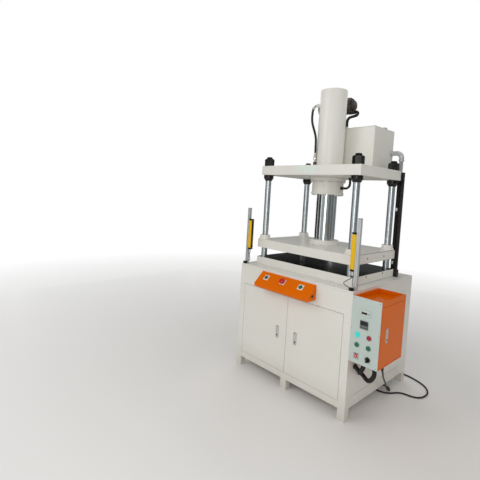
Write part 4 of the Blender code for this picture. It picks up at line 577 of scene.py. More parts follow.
def hexagon(bm, across, centre, height, chamfer):
    """A hexagon nut: a turned blank with its six flats cut off and closed."""
    radius = across / sqrt(3.0)
    centre = Vector(centre)
    turned(bm, [
        (0.0, height), (radius - chamfer, height), (radius - chamfer * 0.4, height - chamfer * 0.25),
        (radius, height - chamfer * 0.75), (radius, 0.002), (radius - 0.002, 0.0), (0.0, 0.0),
    ], centre, steps=72)
    for number in range(6):
        away = Vector((cos(number * pi / 3), sin(number * pi / 3), 0.0))
        cut = bmesh.ops.bisect_plane(
            bm, geom=bm.verts[:] + bm.edges[:] + bm.faces[:], dist=0.000001,
            plane_co=centre + away * (across / 2), plane_no=away, clear_outer=True
        )
        rim = [item for item in cut["geom_cut"] if isinstance(item, bmesh.types.BMEdge)]
        bmesh.ops.contextual_create(bm, geom=rim)
    corners = [
        line for line in bm.edges
        if len(line.link_faces) == 2 and abs(line.verts[0].co.z - line.verts[1].co.z) > height * 0.3
        and all(abs((vert.co - centre).xy.length - radius) < 0.0002 for vert in line.verts)
    ]
    round_edges(bm, corners, 0.0022, 3)


def as_list(keys):
    return [keys] if isinstance(keys, str) else list(keys)


def add_piece(name, data, body):
    """Put a mesh or curve into the scene as a piece that rides on a CAD body."""
    item = bpy.data.objects.new(name, data)
    bpy.context.scene.collection.objects.link(item)
    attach(item, body)
    return item


def meshed(name, bm):
    """A bmesh written to a new mesh."""
    mesh = bpy.data.meshes.new(name)
    bm.to_mesh(mesh)
    bm.free()
    return mesh


def settle(name, bm, keys, body=FIXED, smooth=32.0):
    """Finish a bmesh drawn in machine coordinates as a piece that rides on a CAD body."""
    bmesh.ops.recalc_face_normals(bm, faces=bm.faces)
    bmesh.ops.translate(bm, verts=bm.verts, vec=MACHINE)
    mesh = meshed(name, bm)
    keys = as_list(keys)
    for key in keys:
        mesh.materials.append(finish(key))
    mesh.shade_smooth()
    mesh.set_sharp_from_angle(angle=radians(smooth))
    return add_piece(name, mesh, body)


def turned_piece(name, key, profile, centre, axis=UP, steps=64, body=FIXED, smooth=32.0):
    """A piece turned from one profile."""
    bm = bmesh.new()
    turned(bm, profile, centre, axis, steps)
    return settle(name, bm, key, body, smooth)


def block_piece(name, key, low, high, edge=0.0, segments=2, body=FIXED):
    """A piece that is one box."""
    bm = bmesh.new()
    block(bm, low, high, edge, segments)
    return settle(name, bm, key, body)


def rods_piece(name, key, rods, body=FIXED):
    """A piece of one or more rods, each a radius, start, end, number of sides and edge."""
    bm = bmesh.new()
    for radius, start, end, sides, edge in rods:
        rod(bm, radius, start, end, sides, edge=edge)
    return settle(name, bm, key, body)


def even_path(points, spacing):
    """Points at even spacing along a smooth curve through the given points."""
    points = [Vector(point) for point in points]
    ends = [points[0] * 2 - points[1]] + points + [points[-1] * 2 - points[-2]]
    dense = []
    for before, start, end, after in zip(ends, ends[1:], ends[2:], ends[3:]):
        for step in range(16):
            t = step / 16
            dense.append(0.5 * (
                start * 2 + (end - before) * t
                + (before * 2 - start * 5 + end * 4 - after) * t ** 2
                + (start * 3 - before - end * 3 + after) * t ** 3
            ))
    dense.append(points[-1])
    reach = [0.0]
    for first, second in zip(dense, dense[1:]):
        reach.append(reach[-1] + (second - first).length)
    count = max(3, round(reach[-1] / spacing))
    path = []
    index = 0
    for number in range(count + 1):
        target = reach[-1] * number / count
        while index < len(dense) - 2 and reach[index + 1] < target:
            index += 1
        span = reach[index + 1] - reach[index]
        share = (target - reach[index]) / span if span else 0.0
        path.append(dense[index].lerp(dense[index + 1], min(share, 1.0)))
    return path


def tube(name, points, radius, key, body=FIXED, widths=None, sides=5):
    """A round curve along points in machine coordinates; widths are each point's share of the radius."""
    curve = bpy.data.curves.new(name, "CURVE")
    curve.dimensions = "3D"
    curve.bevel_depth = radius
    curve.bevel_resolution = sides
    curve.use_fill_caps = True
    spline = curve.splines.new("POLY")
    spline.points.add(len(points) - 1)
    for number, point in enumerate(points):
        spline.points[number].co = (*(Vector(point) + MACHINE), 1.0)
        spline.points[number].radius = 1.0 if widths is None else widths[number]
    spline.use_smooth = True
    curve.materials.append(finish(key))
    return add_piece(name, curve, body)


def cad(node):
    """A CAD node's lowest and highest corners at rest, in machine coordinates."""
    low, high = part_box(node)
    return Vector(low) - MACHINE, Vector(high) - MACHINE


def middle_of(node):
    """The middle of a CAD node's box at rest, in machine coordinates."""
    low, high = cad(node)
    return (low + high) / 2


def dress(node, keys, edge=0.0, pick=None):
    """Give a CAD node its materials and round its edges; pick chooses a face's material by number."""
    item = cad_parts[node]
    item.data.materials.clear()
    for key in as_list(keys):
        item.data.materials.append(finish(key))
    if pick is not None:
        for face in item.data.polygons:
            face.material_index = pick(Vector(face.center) - MACHINE, face.normal)
    if edge:
        weld = item.modifiers.new("weld", "WELD")
        weld.merge_threshold = 0.00001
        bevel = item.modifiers.new("edge", "BEVEL")
        bevel.width = edge
        bevel.segments = 2
        bevel.limit_method = "ANGLE"
        bevel.angle_limit = radians(50)
        bevel.use_clamp_overlap = True
    return item


# Operators


CAMERA_PLACE = Vector((1.5773, -1.9873, 1.3762))
CAMERA_YAW_PITCH_ROLL = (47.387, -3.2865, 3.2018)
CAMERA_LENS_MM = 27.065
CAMERA_SHIFT = (0.00644, -0.0551)


class PRESS_OT_camera(bpy.types.Operator):
    """Place the camera where the reference view was taken from"""
    bl_idname = "press.camera"
    bl_label = "Camera"

    def execute(self, context):
        yaw, pitch, roll = (radians(angle) for angle in CAMERA_YAW_PITCH_ROLL)
        forward = Vector((-sin(yaw) * cos(pitch), cos(yaw) * cos(pitch), sin(pitch)))
        level = Vector((cos(yaw), sin(yaw), 0.0))
        above = level.cross(forward)
        right = level * cos(roll) + above * sin(roll)
        up = above * cos(roll) - level * sin(roll)
        data = bpy.data.cameras.new("press_camera")
        data.lens = CAMERA_LENS_MM
        data.sensor_width = 36.0
        data.shift_x, data.shift_y = CAMERA_SHIFT
        data.clip_end = 60.0
        item = bpy.data.objects.new("press_camera", data)
        turn = Matrix((right, up, -forward)).transposed().to_4x4()
        item.matrix_world = Matrix.Translation(CAMERA_PLACE + MACHINE) @ turn
        context.scene.collection.objects.link(item)
        context.scene.camera = item
        return {"FINISHED"}


CABLE_R = 0.0055
COIL_CENTRE = Vector((0.295, 1.015, 0.0))
OUTER_TURN = 0.0678
INNER_TURN = 0.0562
LOWER_LAYER = 0.0060
UPPER_LAYER = 0.0173
PLUG_R = 0.021
PLUG_LENGTH = 0.075
PLUG_BODY = PLUG_LENGTH - 0.021
PIN_OUT = (0.0208, 0.0012, 0.0032)
PIN_IN = (0.002, 0.0012, 0.0032)
CABLE_ROUTE = (
    (0.6450, 0.1280, 0.3772), (0.6450, 0.1280, 0.3700), (0.6449, 0.1305, 0.3585),
    (0.6435, 0.1385, 0.3455), (0.6380, 0.1570, 0.3280), (0.6230, 0.1950, 0.3005),
    (0.6020, 0.2520, 0.2580), (0.5790, 0.3250, 0.2030), (0.5510, 0.4140, 0.1360),
    (0.5260, 0.4870, 0.0800), (0.5105, 0.5380, 0.0420), (0.5025, 0.5800, 0.0180),
    (0.4985, 0.6075, 0.0085), (0.4856, 0.6296, 0.0060), (0.4652, 0.6426, 0.0060),
    (0.4411, 0.6458, 0.0060), (0.4180, 0.6385, 0.0060), (0.4001, 0.6221, 0.0060),
    (0.3909, 0.5997, 0.0060), (0.3919, 0.5755, 0.0060), (0.4031, 0.5540, 0.0060),
    (0.4223, 0.5392, 0.0060), (0.4460, 0.5340, 0.0060), (0.4670, 0.5381, 0.0060),
    (0.4885, 0.5455, 0.0060), (0.5075, 0.5600, 0.0060), (0.5235, 0.5795, 0.0060),
    (0.5365, 0.6020, 0.0060), (0.5520, 0.6250, 0.0060), (0.5740, 0.6425, 0.0060),
    (0.6000, 0.6505, 0.0060), (0.6290, 0.6545, 0.0060), (0.6560, 0.6655, 0.0060),
    (0.6790, 0.6900, 0.0060), (0.6926, 0.7300, 0.0060), (0.6944, 0.7750, 0.0060),
    (0.6830, 0.8220, 0.0060), (0.6560, 0.8670, 0.0060), (0.6080, 0.9060, 0.0060),
    (0.5500, 0.9310, 0.0060), (0.4900, 0.9445, 0.0060), (0.3820, 0.9472, 0.0060),
    (0.3371, 0.9472, 0.0060),
)


def eased(value, start, end):
    share = min(max((value - start) / (end - start), 0.0), 1.0)
    return share * share * (3.0 - 2.0 * share)


def coil_points():
    """Three turns in two layers: outer low, inner low, inner high, outer high, then off to the plug."""
    points = []
    steps = 40
    for number in range(1, 3 * steps + 1):
        turn = number / steps
        angle = -pi / 2 - 2 * pi * turn
        radius = OUTER_TURN + (INNER_TURN - OUTER_TURN) * (eased(turn, 0.68, 0.98) - eased(turn, 2.2, 2.5))
        height = LOWER_LAYER + (UPPER_LAYER - LOWER_LAYER) * eased(turn, 1.5, 1.75)
        points.append(COIL_CENTRE + Vector((cos(angle) * radius, sin(angle) * radius, height)))
    return points


class PRESS_OT_power_cable(bpy.types.Operator):
    """Run the power cable from its gland to the floor, coil its unseen length and end it in a plug"""
    bl_idname = "press.power_cable"
    bl_label = "Power cable"

    def execute(self, context):
        exit_point = Vector(CABLE_ROUTE[0])
        mouth = cad("power_plug")[1].x
        axis_y = COIL_CENTRE.y - OUTER_TURN
        axis_z = PLUG_R + GAP
        straight = even_path(CABLE_ROUTE + ((COIL_CENTRE.x, axis_y, LOWER_LAYER),), 0.004)
        tail = [Vector((mouth + 0.022, axis_y, UPPER_LAYER + 0.0016)), Vector((mouth, axis_y, axis_z))]
        path = straight + coil_points() + tail
        cable = tube("mains_cable", path, CABLE_R, "sheath", sides=6)

        boot = even_path(CABLE_ROUTE[:4], 0.003)[:10]
        widths = [1.75 - 0.62 * number / 9 - (0.12 if number % 2 else 0.0) for number in range(10)]
        relief = tube("cable_strain_relief", boot, CABLE_R, "abs", widths=widths, sides=6)

        bm = bmesh.new()
        turned(bm, [
            (0.0, 0.0), (CABLE_R * 1.35, 0.0), (CABLE_R * 1.75, 0.004), (CABLE_R * 1.85, 0.016),
            (PLUG_R * 0.72, 0.026), (PLUG_R * 0.96, 0.034), (PLUG_R * 0.96, 0.040), (PLUG_R * 0.90, 0.0415),
            (PLUG_R * 0.90, 0.0435), (PLUG_R, 0.045), (PLUG_R, PLUG_LENGTH - 0.0225),
            (PLUG_R * 0.95, PLUG_BODY), (PLUG_R * 0.82, PLUG_BODY), (0.0, PLUG_BODY),
        ], (mouth, axis_y, axis_z), -ALONG, 48)
        grip = Vector((mouth - 0.012, axis_y, axis_z))
        ringed(bm, 12, (-0.041, PLUG_R * 0.93, -0.0012), (-0.018, PLUG_R, 0.0012), 0.0005, grip)
        plug = settle("mains_plug", bm, "abs", FIXED)
        bm = bmesh.new()
        face = mouth - PLUG_BODY
        for y, z in ((-0.0095, 0.0), (0.0095, 0.0), (0.0, -0.010)):
            middle = Vector((face, axis_y + y, axis_z + z))
            block(bm, middle - Vector(PIN_OUT), middle + Vector(PIN_IN), 0.0005, 2)
        pins = settle("mains_plug_pins", bm, "brass", FIXED)
        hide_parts("power_cable", "power_coil", "power_plug")

        bm = bmesh.new()
        bottom = Vector((exit_point.x, exit_point.y, cad("control_panel")[0].z))
        rod(bm, 0.0135, bottom - UP * 0.0002, bottom - UP * 0.0062, 6, edge=0.0006)
        rod(bm, 0.0112, bottom - UP * 0.006, bottom - UP * 0.0215, 24, 0.0106, 0.001)
        settle("cable_gland_nut", bm, "abs", FIXED)
        return {"FINISHED"}


def hang(context, name, matrix, cloth):
    """Hang a studio card, a unit square moved by a matrix, that only mirrored light meets."""
    bm = bmesh.new()
    bmesh.ops.create_grid(bm, x_segments=1, y_segments=1, size=0.5, matrix=matrix)
    mesh = meshed(name, bm)
    mesh.materials.append(new_material(name + "_cloth", cloth, 0.9)[0])
    flag = bpy.data.objects.new(name, mesh)
    flag.visible_camera = False
    flag.visible_diffuse = False
    flag.visible_transmission = False
    flag.visible_shadow = False
    context.scene.collection.objects.link(flag)


WORLD_GLOW = 0.44
FLOOR_R = 9.0
CEILING_WIDTH = 14.0
CEILING_HEIGHT = 5.4
LIGHT_TARGET = Vector((0.05, 0.35, 1.05))
# Name, place, width, height where it isn't square, and power in watts
LIGHTS = (
    ("key_light", (-1.7, -3.5, 3.3), 2.4, 0.0, 42.0), ("fill_light", (3.8, -1.1, 2.9), 2.8, 0.0, 16.0),
    ("top_light", (0.4, 0.6, 4.4), 3.0, 0.0, 20.0), ("back_light", (-2.6, 3.4, 3.0), 2.4, 0.0, 26.0),
    ("strip_light", (1.50, -2.75, 1.75), 0.95, 2.6, 22.0),
)
CARD_REACH = 3.6
CARD_HEIGHT = 3.0
# Name, azimuth and half its spread in degrees, and the cloth's shade
CARDS = (
    ("rear_left", 141.0, 19.0, 0.05), ("left", 180.0, 20.0, 0.04), ("front_left", 221.0, 19.0, 0.06),
    ("front", 270.0, 22.0, 0.60), ("front_right", 311.0, 17.0, 0.50), ("right", 345.0, 17.0, 0.22),
    ("rear_right", 19.0, 17.0, 0.22), ("rear", 64.0, 28.0, 0.32), ("back", 107.0, 16.0, 0.16),
)


class PRESS_OT_stage(bpy.types.Operator):
    """Lay the pale floor and set the soft studio light"""
    bl_idname = "press.stage"
    bl_label = "Stage"

    def execute(self, context):
        bm = bmesh.new()
        bmesh.ops.create_circle(bm, cap_ends=True, segments=96, radius=FLOOR_R)
        mesh = meshed("studio_floor", bm)
        material, tree, shader = new_material("pale_floor", from_hex("#EBE9E6"), 0.6)
        spot = add_node(tree, "ShaderNodeTexCoord").outputs["Object"]
        reach = add_node(tree, "ShaderNodeVectorMath", {}, {0: spot}, operation="LENGTH").outputs["Value"]
        seen = add_node(tree, "ShaderNodeLightPath").outputs["Is Camera Ray"]
        far = spread(tree, reach, 0.0, 1.0, 1.1, 5.5)
        share = add_node(tree, "ShaderNodeMath", {}, {0: far, 1: seen}, operation="MULTIPLY").outputs[0]
        glow = add_node(tree, "ShaderNodeEmission", {"Color": (1.0, 1.0, 1.0, 1.0), "Strength": 1.0})
        mix = add_node(
            tree, "ShaderNodeMixShader", {},
            {0: share, 1: shader.outputs["BSDF"], 2: glow.outputs["Emission"]}
        )
        tree.links.new(mix.outputs["Shader"], tree.nodes["Material Output"].inputs["Surface"])
        mesh.materials.append(material)
        floor = bpy.data.objects.new("studio_floor", mesh)
        context.scene.collection.objects.link(floor)

        world = bpy.data.worlds.new("studio_world")
        world.use_nodes = True
        tree = world.node_tree
        rays = add_node(tree, "ShaderNodeLightPath").outputs
        seen = rays["Is Camera Ray"]
        for kind in ("Is Glossy Ray", "Is Transmission Ray"):
            links = {0: seen, 1: rays[kind]}
            seen = add_node(tree, "ShaderNodeMath", {}, links, operation="MAXIMUM").outputs[0]
        strength = spread(tree, seen, WORLD_GLOW, 1.0, 0.0, 1.0)
        ground = tree.nodes["Background"]
        ground.inputs["Color"].default_value = (1.0, 1.0, 1.0, 1.0)
        tree.links.new(strength, ground.inputs["Strength"])
        context.scene.world = world
        context.scene.view_settings.view_transform = "Standard"

        target = LIGHT_TARGET + MACHINE
        for name, spot, wide, tall, power in LIGHTS:
            data = bpy.data.lights.new(name, "AREA")
            data.size = wide
            data.energy = power
            if tall:
                data.shape = "RECTANGLE"
                data.size_y = tall
            lamp = bpy.data.objects.new(name, data)
            lamp.location = Vector(spot) + MACHINE
            lamp.rotation_mode = "QUATERNION"
            lamp.rotation_quaternion = (target - lamp.location).to_track_quat("-Z", "Y")
            context.scene.collection.objects.link(lamp)

        upright = Matrix.Rotation(pi / 2, 4, "X")
        for name, angle, half, shade in CARDS:
            wide = 2 * CARD_REACH * sin(radians(half))
            stand = Matrix.Translation((0.0, CARD_REACH, CARD_HEIGHT / 2))
            size = Matrix.Diagonal((wide, 1.0, CARD_HEIGHT, 1.0))
            matrix = Matrix.Rotation(radians(angle - 90), 4, "Z") @ stand @ size @ upright
            hang(context, "flag_" + name, matrix, (shade * 0.92, shade, shade * 0.99, 1.0))
        above = Matrix.Translation((0.0, 0.0, CEILING_HEIGHT))
        size = Matrix.Diagonal((CEILING_WIDTH, CEILING_WIDTH, 1.0, 1.0))
        hang(context, "flag_ceiling", above @ size, (0.34, 0.34, 0.34, 1.0))
        return {"FINISHED"}


DISH_HALF_WIDTH = 0.0142
DISH_HALF_HEIGHT = 0.0465


def dish_of(lock, across, skin):
    """A picker that gives 1 on a lock's dish, 0 on its door; across is the door's level axis."""
    middle = middle_of(lock)

    def housing(point, normal):
        beside = abs(point[across] - middle[across]) < DISH_HALF_WIDTH
        level = abs(point.z - middle.z) < DISH_HALF_HEIGHT
        return int(beside and level and abs(point[1 - across] - skin) > 0.0004)

    return housing


class PRESS_OT_cabinet(bpy.types.Operator):
    """Paint the cabinet, its doors and its base"""
    bl_idname = "press.cabinet"
    bl_label = "Cabinet"

    def execute(self, context):
        fold = sizes().sheet_edge
        for node, edge in (
            ("base_frame", fold), ("cabinet_shell", fold), ("cabinet_top", fold), ("side_panel", fold * 0.6),
        ):
            dress(node, "white", edge)
        for side in ("left", "right"):
            dress("door_" + side, ("white", "satin"), 0.0, dish_of("lock_" + side, 0, 0.0))
        return {"FINISHED"}


PULL_BAR_CORNER = 0.0092
KEY_RISE = 0.017
KEY_R = 0.0062


def lock_bar(name, node, face):
    """A rounded pull bar with its round key button near the lower end."""
    low, high = cad(node)
    bm = bmesh.new()
    made = block(bm, low, high)
    upright = {
        line for line in lines_of(made)
        if abs((line.verts[0].co - line.verts[1].co).normalized().dot(face)) > 0.9
    }
    round_edges(bm, upright, PULL_BAR_CORNER, 6)
    front = max(vert.co.dot(face) for vert in bm.verts)
    rim = [line for line in bm.edges if all(abs(vert.co.dot(face) - front) < 0.00001 for vert in line.verts)]
    round_edges(bm, rim, 0.0009, 2)
    piece = settle(name, bm, "satin", node)
    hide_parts(node)
    key = middle_of(node)
    key.z = low.z + KEY_RISE
    skin = key + face * (front - key.dot(face))
    rods_piece(name + "_key", "abs", [(KEY_R, skin - face * 0.003, skin + face * 0.0006, 28, 0.0004)], node)


class PRESS_OT_locks(bpy.types.Operator):
    """Fit the three flush locks' pull bars"""
    bl_idname = "press.locks"
    bl_label = "Locks"

    def execute(self, context):
        for side, face in (("left", FRONT), ("right", FRONT), ("side", ALONG)):
            lock_bar("pull_bar_" + side, "lock_" + side, face)
        return {"FINISHED"}


BLANK_PLATE = ((-0.084, 1.5462), (0.093, 1.5962))
HOLE_R = 0.00595
HOLE_DEPTH = 0.021
HOLE_SHARES = (0.2975, 0.7025)
HOLE_PLUG_DEPTH = 0.012


class PRESS_OT_plates(bpy.types.Operator):
    """Paint the three plates, grind their working faces and fix the blank plate"""
    bl_idname = "press.plates"
    bl_label = "Plates"

    def execute(self, context):
        crown_low, crown_high = cad("crown")
        end = crown_high.x

        def in_hole(point, normal):
            """Whether a face is inside one of the threaded lifting holes."""
            inside = end - HOLE_DEPTH < abs(point.x) < end - 0.0002
            return inside and abs(normal.z) < 0.999 and abs(normal.y) < 0.999

        def table(point, normal):
            return 2 if in_hole(point, normal) else int(normal.z > 0.9)

        def slide(point, normal):
            return 2 if in_hole(point, normal) else int(normal.z < -0.9)

        dress("bolster", ("white", "steel", "oxide"), 0.0, table)
        dress("platen", ("white", "steel", "oxide"), 0.0, slide)
        dress("crown", "white")
        front = crown_low.y
        plugs = []
        for x, inward in ((crown_low.x, ALONG), (crown_high.x, -ALONG)):
            for share in HOLE_SHARES:
                spot = Vector((x, front + (crown_high.y - front) * share, (crown_low.z + crown_high.z) / 2))
                plugs.append((HOLE_R, spot, spot + inward * HOLE_PLUG_DEPTH, 32, 0.0002))
        rods_piece("crown_hole_plugs", "white", plugs)
        (left, bottom), (right, top) = BLANK_PLATE
        low = (left, front - 0.0008, bottom)
        block_piece("blank_plate", "plate", low, (right, front + 0.0002, top), 0.0003, 1)
        return {"FINISHED"}


COLUMN_R = 0.0225
NUT_ACROSS = 0.068
FOOT_NUT_HEIGHT = 0.036
THREAD_PITCH = 0.002


class PRESS_OT_columns(bpy.types.Operator):
    """Turn the four chromed columns with their collars, nuts and bushes"""
    bl_idname = "press.columns"
    bl_label = "Columns"

    def execute(self, context):
        radius = COLUMN_R
        crown_low, crown_high = cad("crown")
        shelf = cad("cabinet_top")[0].z
        seat = cad("platen")[1].z + GAP
        for corner in ("front_left", "front_right", "rear_left", "rear_right"):
            low, high = cad("column_" + corner)
            x, y = middle_of("column_" + corner).xy
            length = crown_high.z - shelf
            column = turned_piece("chrome_column_" + corner, "bar", [
                (0.0, length), (radius, length), (radius, 0.0), (0.0, 0.0),
            ], (x, y, shelf))
            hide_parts("column_" + corner)

            turned_piece("column_collar_" + corner, "oxide", [
                (radius + 0.0002, 0.0), (0.0372, 0.0), (0.038, -0.0008), (0.038, -0.0242), (0.0372, -0.025),
                (radius + 0.003, -0.045), (radius + 0.0002, -0.045), (radius + 0.0002, 0.0),
            ], (x, y, crown_low.z - GAP))

            thread = [(0.0, 0.0), (radius - 0.003, 0.0), (radius - 0.0008, -0.0022)]
            for groove in range(4):
                fall = -0.003 - groove * THREAD_PITCH
                thread += [(radius - 0.0004, fall), (radius - 0.0014, fall - THREAD_PITCH / 2)]
            root = crown_high.z + 0.001 - high.z
            thread += [(radius - 0.0004, root), (0.0, root)]
            turned_piece("column_thread_" + corner, "oxide", thread, (x, y, high.z), steps=48)

            nut_low, nut_high = cad("crown_nut_" + corner)
            bm = bmesh.new()
            hexagon(bm, NUT_ACROSS, (x, y, nut_low.z), nut_high.z - nut_low.z, 0.014)
            nut = settle("hex_nut_" + corner, bm, "oxide", FIXED, 25.0)
            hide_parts("crown_nut_" + corner)

            bm = bmesh.new()
            hexagon(bm, NUT_ACROSS, (x, y, shelf - GAP - FOOT_NUT_HEIGHT), FOOT_NUT_HEIGHT, 0.006)
            rod(bm, radius - 0.0004, (x, y, low.z), (x, y, shelf - 0.034), 40, edge=0.002)
            settle("foot_nut_" + corner, bm, "oxide", FIXED, 25.0)

            bush_low, bush_high = cad("guide_bush_" + corner)
            bore = radius + 0.0004
            rise = bush_high.z - seat
            foot = bush_low.z - seat
            bush = turned_piece("painted_bush_" + corner, "white", [
                (0.0365, rise), (0.0385, rise - 0.0012), (0.039, rise - 0.0024), (0.039, 0.0132),
                (0.0396, 0.0124), (0.0440, 0.012), (0.0448, 0.0112), (0.045, 0.0104), (0.045, 0.0),
                (0.030, 0.0), (0.030, foot), (bore, foot), (bore, rise - 0.004), (bore + 0.002, rise),
                (0.0365, rise),
            ], (x, y, seat), body=HEAD)
            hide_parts("guide_bush_" + corner)
            turned_piece("bush_wiper_" + corner, "rubber", [
                (0.0272, 0.0002), (0.0282, -0.0006), (0.0282, -0.003), (bore, -0.003), (bore, 0.0002),
                (0.0272, 0.0002),
            ], (x, y, bush_high.z), steps=48, body=HEAD)
        return {"FINISHED"}


CYLINDER_R = 0.100
CYLINDER_RISE = 0.580
FLANGE_R = 0.130
FLANGE_T = 0.030
GLAND_HEIGHT = 0.098
PORT_WAY = Vector((-0.833, -0.553, 0.0)).normalized()
PORT_RISE = 0.472
FLANGE_SCREW_CIRCLE = 0.1228
GLAND_SCREW_CIRCLE = 0.1075
GLAND_BORE = 0.0754
GLAND_R = 0.116


class PRESS_OT_cylinder(bpy.types.Operator):
    """Turn the cylinder, its flange and its screwed gland"""
    bl_idname = "press.cylinder"
    bl_label = "Cylinder"

    def execute(self, context):
        crown_low, crown_high = cad("crown")
        y = middle_of("crown").y
        top = crown_high.z + CYLINDER_RISE
        flange = crown_low.z - GAP - FLANGE_T
        rise = top - flange
        body = turned_piece("cylinder_body", "white", [
            (0.0, rise), (0.0935, rise), (0.0968, rise - 0.0010), (0.0990, rise - 0.0032),
            (CYLINDER_R, rise - 0.0065), (CYLINDER_R, FLANGE_T), (0.127, FLANGE_T),
            (0.1292, FLANGE_T - 0.0009), (FLANGE_R, FLANGE_T - 0.003), (FLANGE_R, 0.0), (0.080, 0.0),
            (0.080, rise - 0.030), (0.0, rise - 0.030),
        ], (0.0, y, flange), steps=128)
        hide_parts("cylinder_tube")

        spot = Vector((0.02, y, top))
        rods_piece("bleed_plug", "brass", [
            (0.0095, spot - UP * 0.002, spot + UP * 0.0065, 6, 0.0006),
            (0.0062, spot + UP * 0.006, spot + UP * 0.0138, 24, 0.0008),
        ])
        port = Vector((0.0, y, crown_high.z + PORT_RISE))
        rods_piece("port_boss", "white", [
            (0.014, port + PORT_WAY * 0.095, port + PORT_WAY * 0.1115, 32, 0.0008),
        ])

        gland_top = cad("cylinder_gland")[1].z
        bottom = Vector((0.0, y, gland_top - GLAND_HEIGHT))
        inner = GLAND_BORE
        gland = turned_piece("gland_ring", "white", [
            (0.115, GLAND_HEIGHT), (GLAND_R, GLAND_HEIGHT - 0.001), (GLAND_R, 0.0178), (0.1172, 0.0152),
            (0.1200, 0.014), (0.121, 0.0130), (0.121, 0.001), (0.120, 0.0), (0.0825, 0.0),
            (0.0815, 0.001), (0.0795, 0.0028), (inner, 0.006), (inner, GLAND_HEIGHT), (0.115, GLAND_HEIGHT),
        ], bottom, steps=128)
        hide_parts("cylinder_gland")
        turned_piece("gland_joint", "rubber", [
            (0.1168, 0.0002), (0.1168, -0.0014), (0.1150, -0.0014), (0.1150, 0.0002), (0.1168, 0.0002),
        ], (0.0, y, flange), steps=96)
        rods_piece("flange_screw_heads", "satin", [
            (0.0056, (x, y + out, flange + 0.0003), (x, y + out, flange - 0.0078), 24, 0.0006)
            for x, out in round_places(12, FLANGE_SCREW_CIRCLE, 0.25)
        ])
        turned_piece("rod_wiper", "rubber", [
            (0.0806, -0.0004), (0.0806, 0.0035), (inner + 0.0001, 0.0035), (inner + 0.0001, 0.0008),
            (0.0770, -0.0004), (0.0806, -0.0004),
        ], bottom, steps=96)
        heads = bmesh.new()
        washers = []
        for x, out in round_places(8, GLAND_SCREW_CIRCLE, 0.5):
            spot = bottom + Vector((x, out, 0.0))
            turned(heads, [
                (0.0, -0.0046), (0.0042, -0.0046), (0.0042, -0.0085), (0.0082, -0.0085),
                (0.0090, -0.0077), (0.0090, 0.001), (0.0, 0.001),
            ], spot, steps=20)
            washers.append((0.0114, spot - UP * 0.0011, spot + UP * 0.0002, 24, 0.0003))
        settle("gland_screw_heads", heads, "satin")
        rods_piece("gland_washers", "zinc", washers)
        return {"FINISHED"}


RAM_R = 0.075
RAM_FOOT_T = 0.036
PISTON_LENGTH = 0.060
GROOVE_R = 0.0725


class PRESS_OT_ram(bpy.types.Operator):
    """Turn the chromed ram and its painted foot, and plate the trigger dog"""
    bl_idname = "press.ram"
    bl_label = "Ram"

    def execute(self, context):
        low, high = cad("ram")
        seat = Vector((0.0, middle_of("ram").y, low.z))
        length = high.z - low.z
        piston = length - PISTON_LENGTH
        ram = turned_piece("chrome_ram", "chrome", [
            (0.0, length), (0.0780, length), (0.0796, length - 0.0016), (0.0796, piston), (RAM_R, piston),
            (RAM_R, RAM_FOOT_T + 0.0180), (GROOVE_R, RAM_FOOT_T + 0.0170), (GROOVE_R, RAM_FOOT_T + 0.0125),
            (RAM_R, RAM_FOOT_T + 0.0115), (RAM_R, RAM_FOOT_T - 0.002), (0.0, RAM_FOOT_T - 0.002),
        ], seat, steps=128, body=HEAD)
        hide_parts("ram")
        turned_piece("ram_foot", "white", [
            (0.0752, RAM_FOOT_T), (0.1060, RAM_FOOT_T), (0.1078, RAM_FOOT_T - 0.0008),
            (0.1085, RAM_FOOT_T - 0.0028), (0.1085, 0.0), (0.0752, 0.0), (0.0752, RAM_FOOT_T),
        ], seat, steps=96, body=HEAD)
        dress("trigger_dog", "zinc", sizes().plate_edge)
        return {"FINISHED"}


LID_T = 0.004
LID_INSET = 0.012
LID_SCREWS_ALONG = (0.164, 0.316)
BREATHER_INSET = (0.052, 0.065)
OUTLET_INSET = 0.030
OUTLET_DROP = 0.171


class PRESS_OT_oil_tank(bpy.types.Operator):
    """Paint the oil tank and fit its lid screws and filler breather"""
    bl_idname = "press.oil_tank"
    bl_label = "Oil tank"

    def execute(self, context):
        dress("oil_tank", "white", 0.0026)
        low, high = cad("oil_tank")
        lid_low = cad("tank_lid")[0].z
        lid = lid_low + LID_T
        cover = block_piece("painted_lid", "white", (low.x, low.y, lid_low), (high.x, high.y, lid), 0.0012)
        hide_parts("tank_lid")
        left, right = low.x + LID_INSET, high.x - LID_INSET
        near, far = low.y + LID_INSET, high.y - LID_INSET
        middle = (low.y + high.y) / 2
        between = [low.x + along for along in LID_SCREWS_ALONG]
        screws = []
        for x, y in (
            *((x, y) for x in (left, *between, right) for y in (near, far)),
            (left, middle), (right, middle),
        ):
            spot = Vector((x, y, lid))
            screws.append((0.0052, spot - UP * 0.0002, spot + UP * 0.0036, 6, 0.0004))
            screws.append((0.0068, spot - UP * 0.0002, spot + UP * 0.0009, 20, 0.0))
        rods_piece("lid_screws", "zinc", screws)
        spot = Vector((high.x - BREATHER_INSET[0], high.y - BREATHER_INSET[1], lid))
        bm = bmesh.new()
        turned(bm, [
            (0.0, 0.026), (0.0165, 0.026), (0.0185, 0.0245), (0.019, 0.023), (0.019, 0.0125),
            (0.0182, 0.0117), (0.0142, 0.0117), (0.0142, 0.003), (0.0186, 0.003), (0.0190, 0.0024),
            (0.0190, -0.0002), (0.0, -0.0002),
        ], spot, steps=48)
        ringed(bm, 24, (0.0183, -0.0007, 0.0135), (0.01945, 0.0007, 0.0235), 0.0003, spot, "Z")
        settle("filler_breather", bm, "zinc")
        return {"FINISHED"}


MOTOR_R = 0.071
PORT_DROP = 0.0525
PUMP_FACE = 0.118


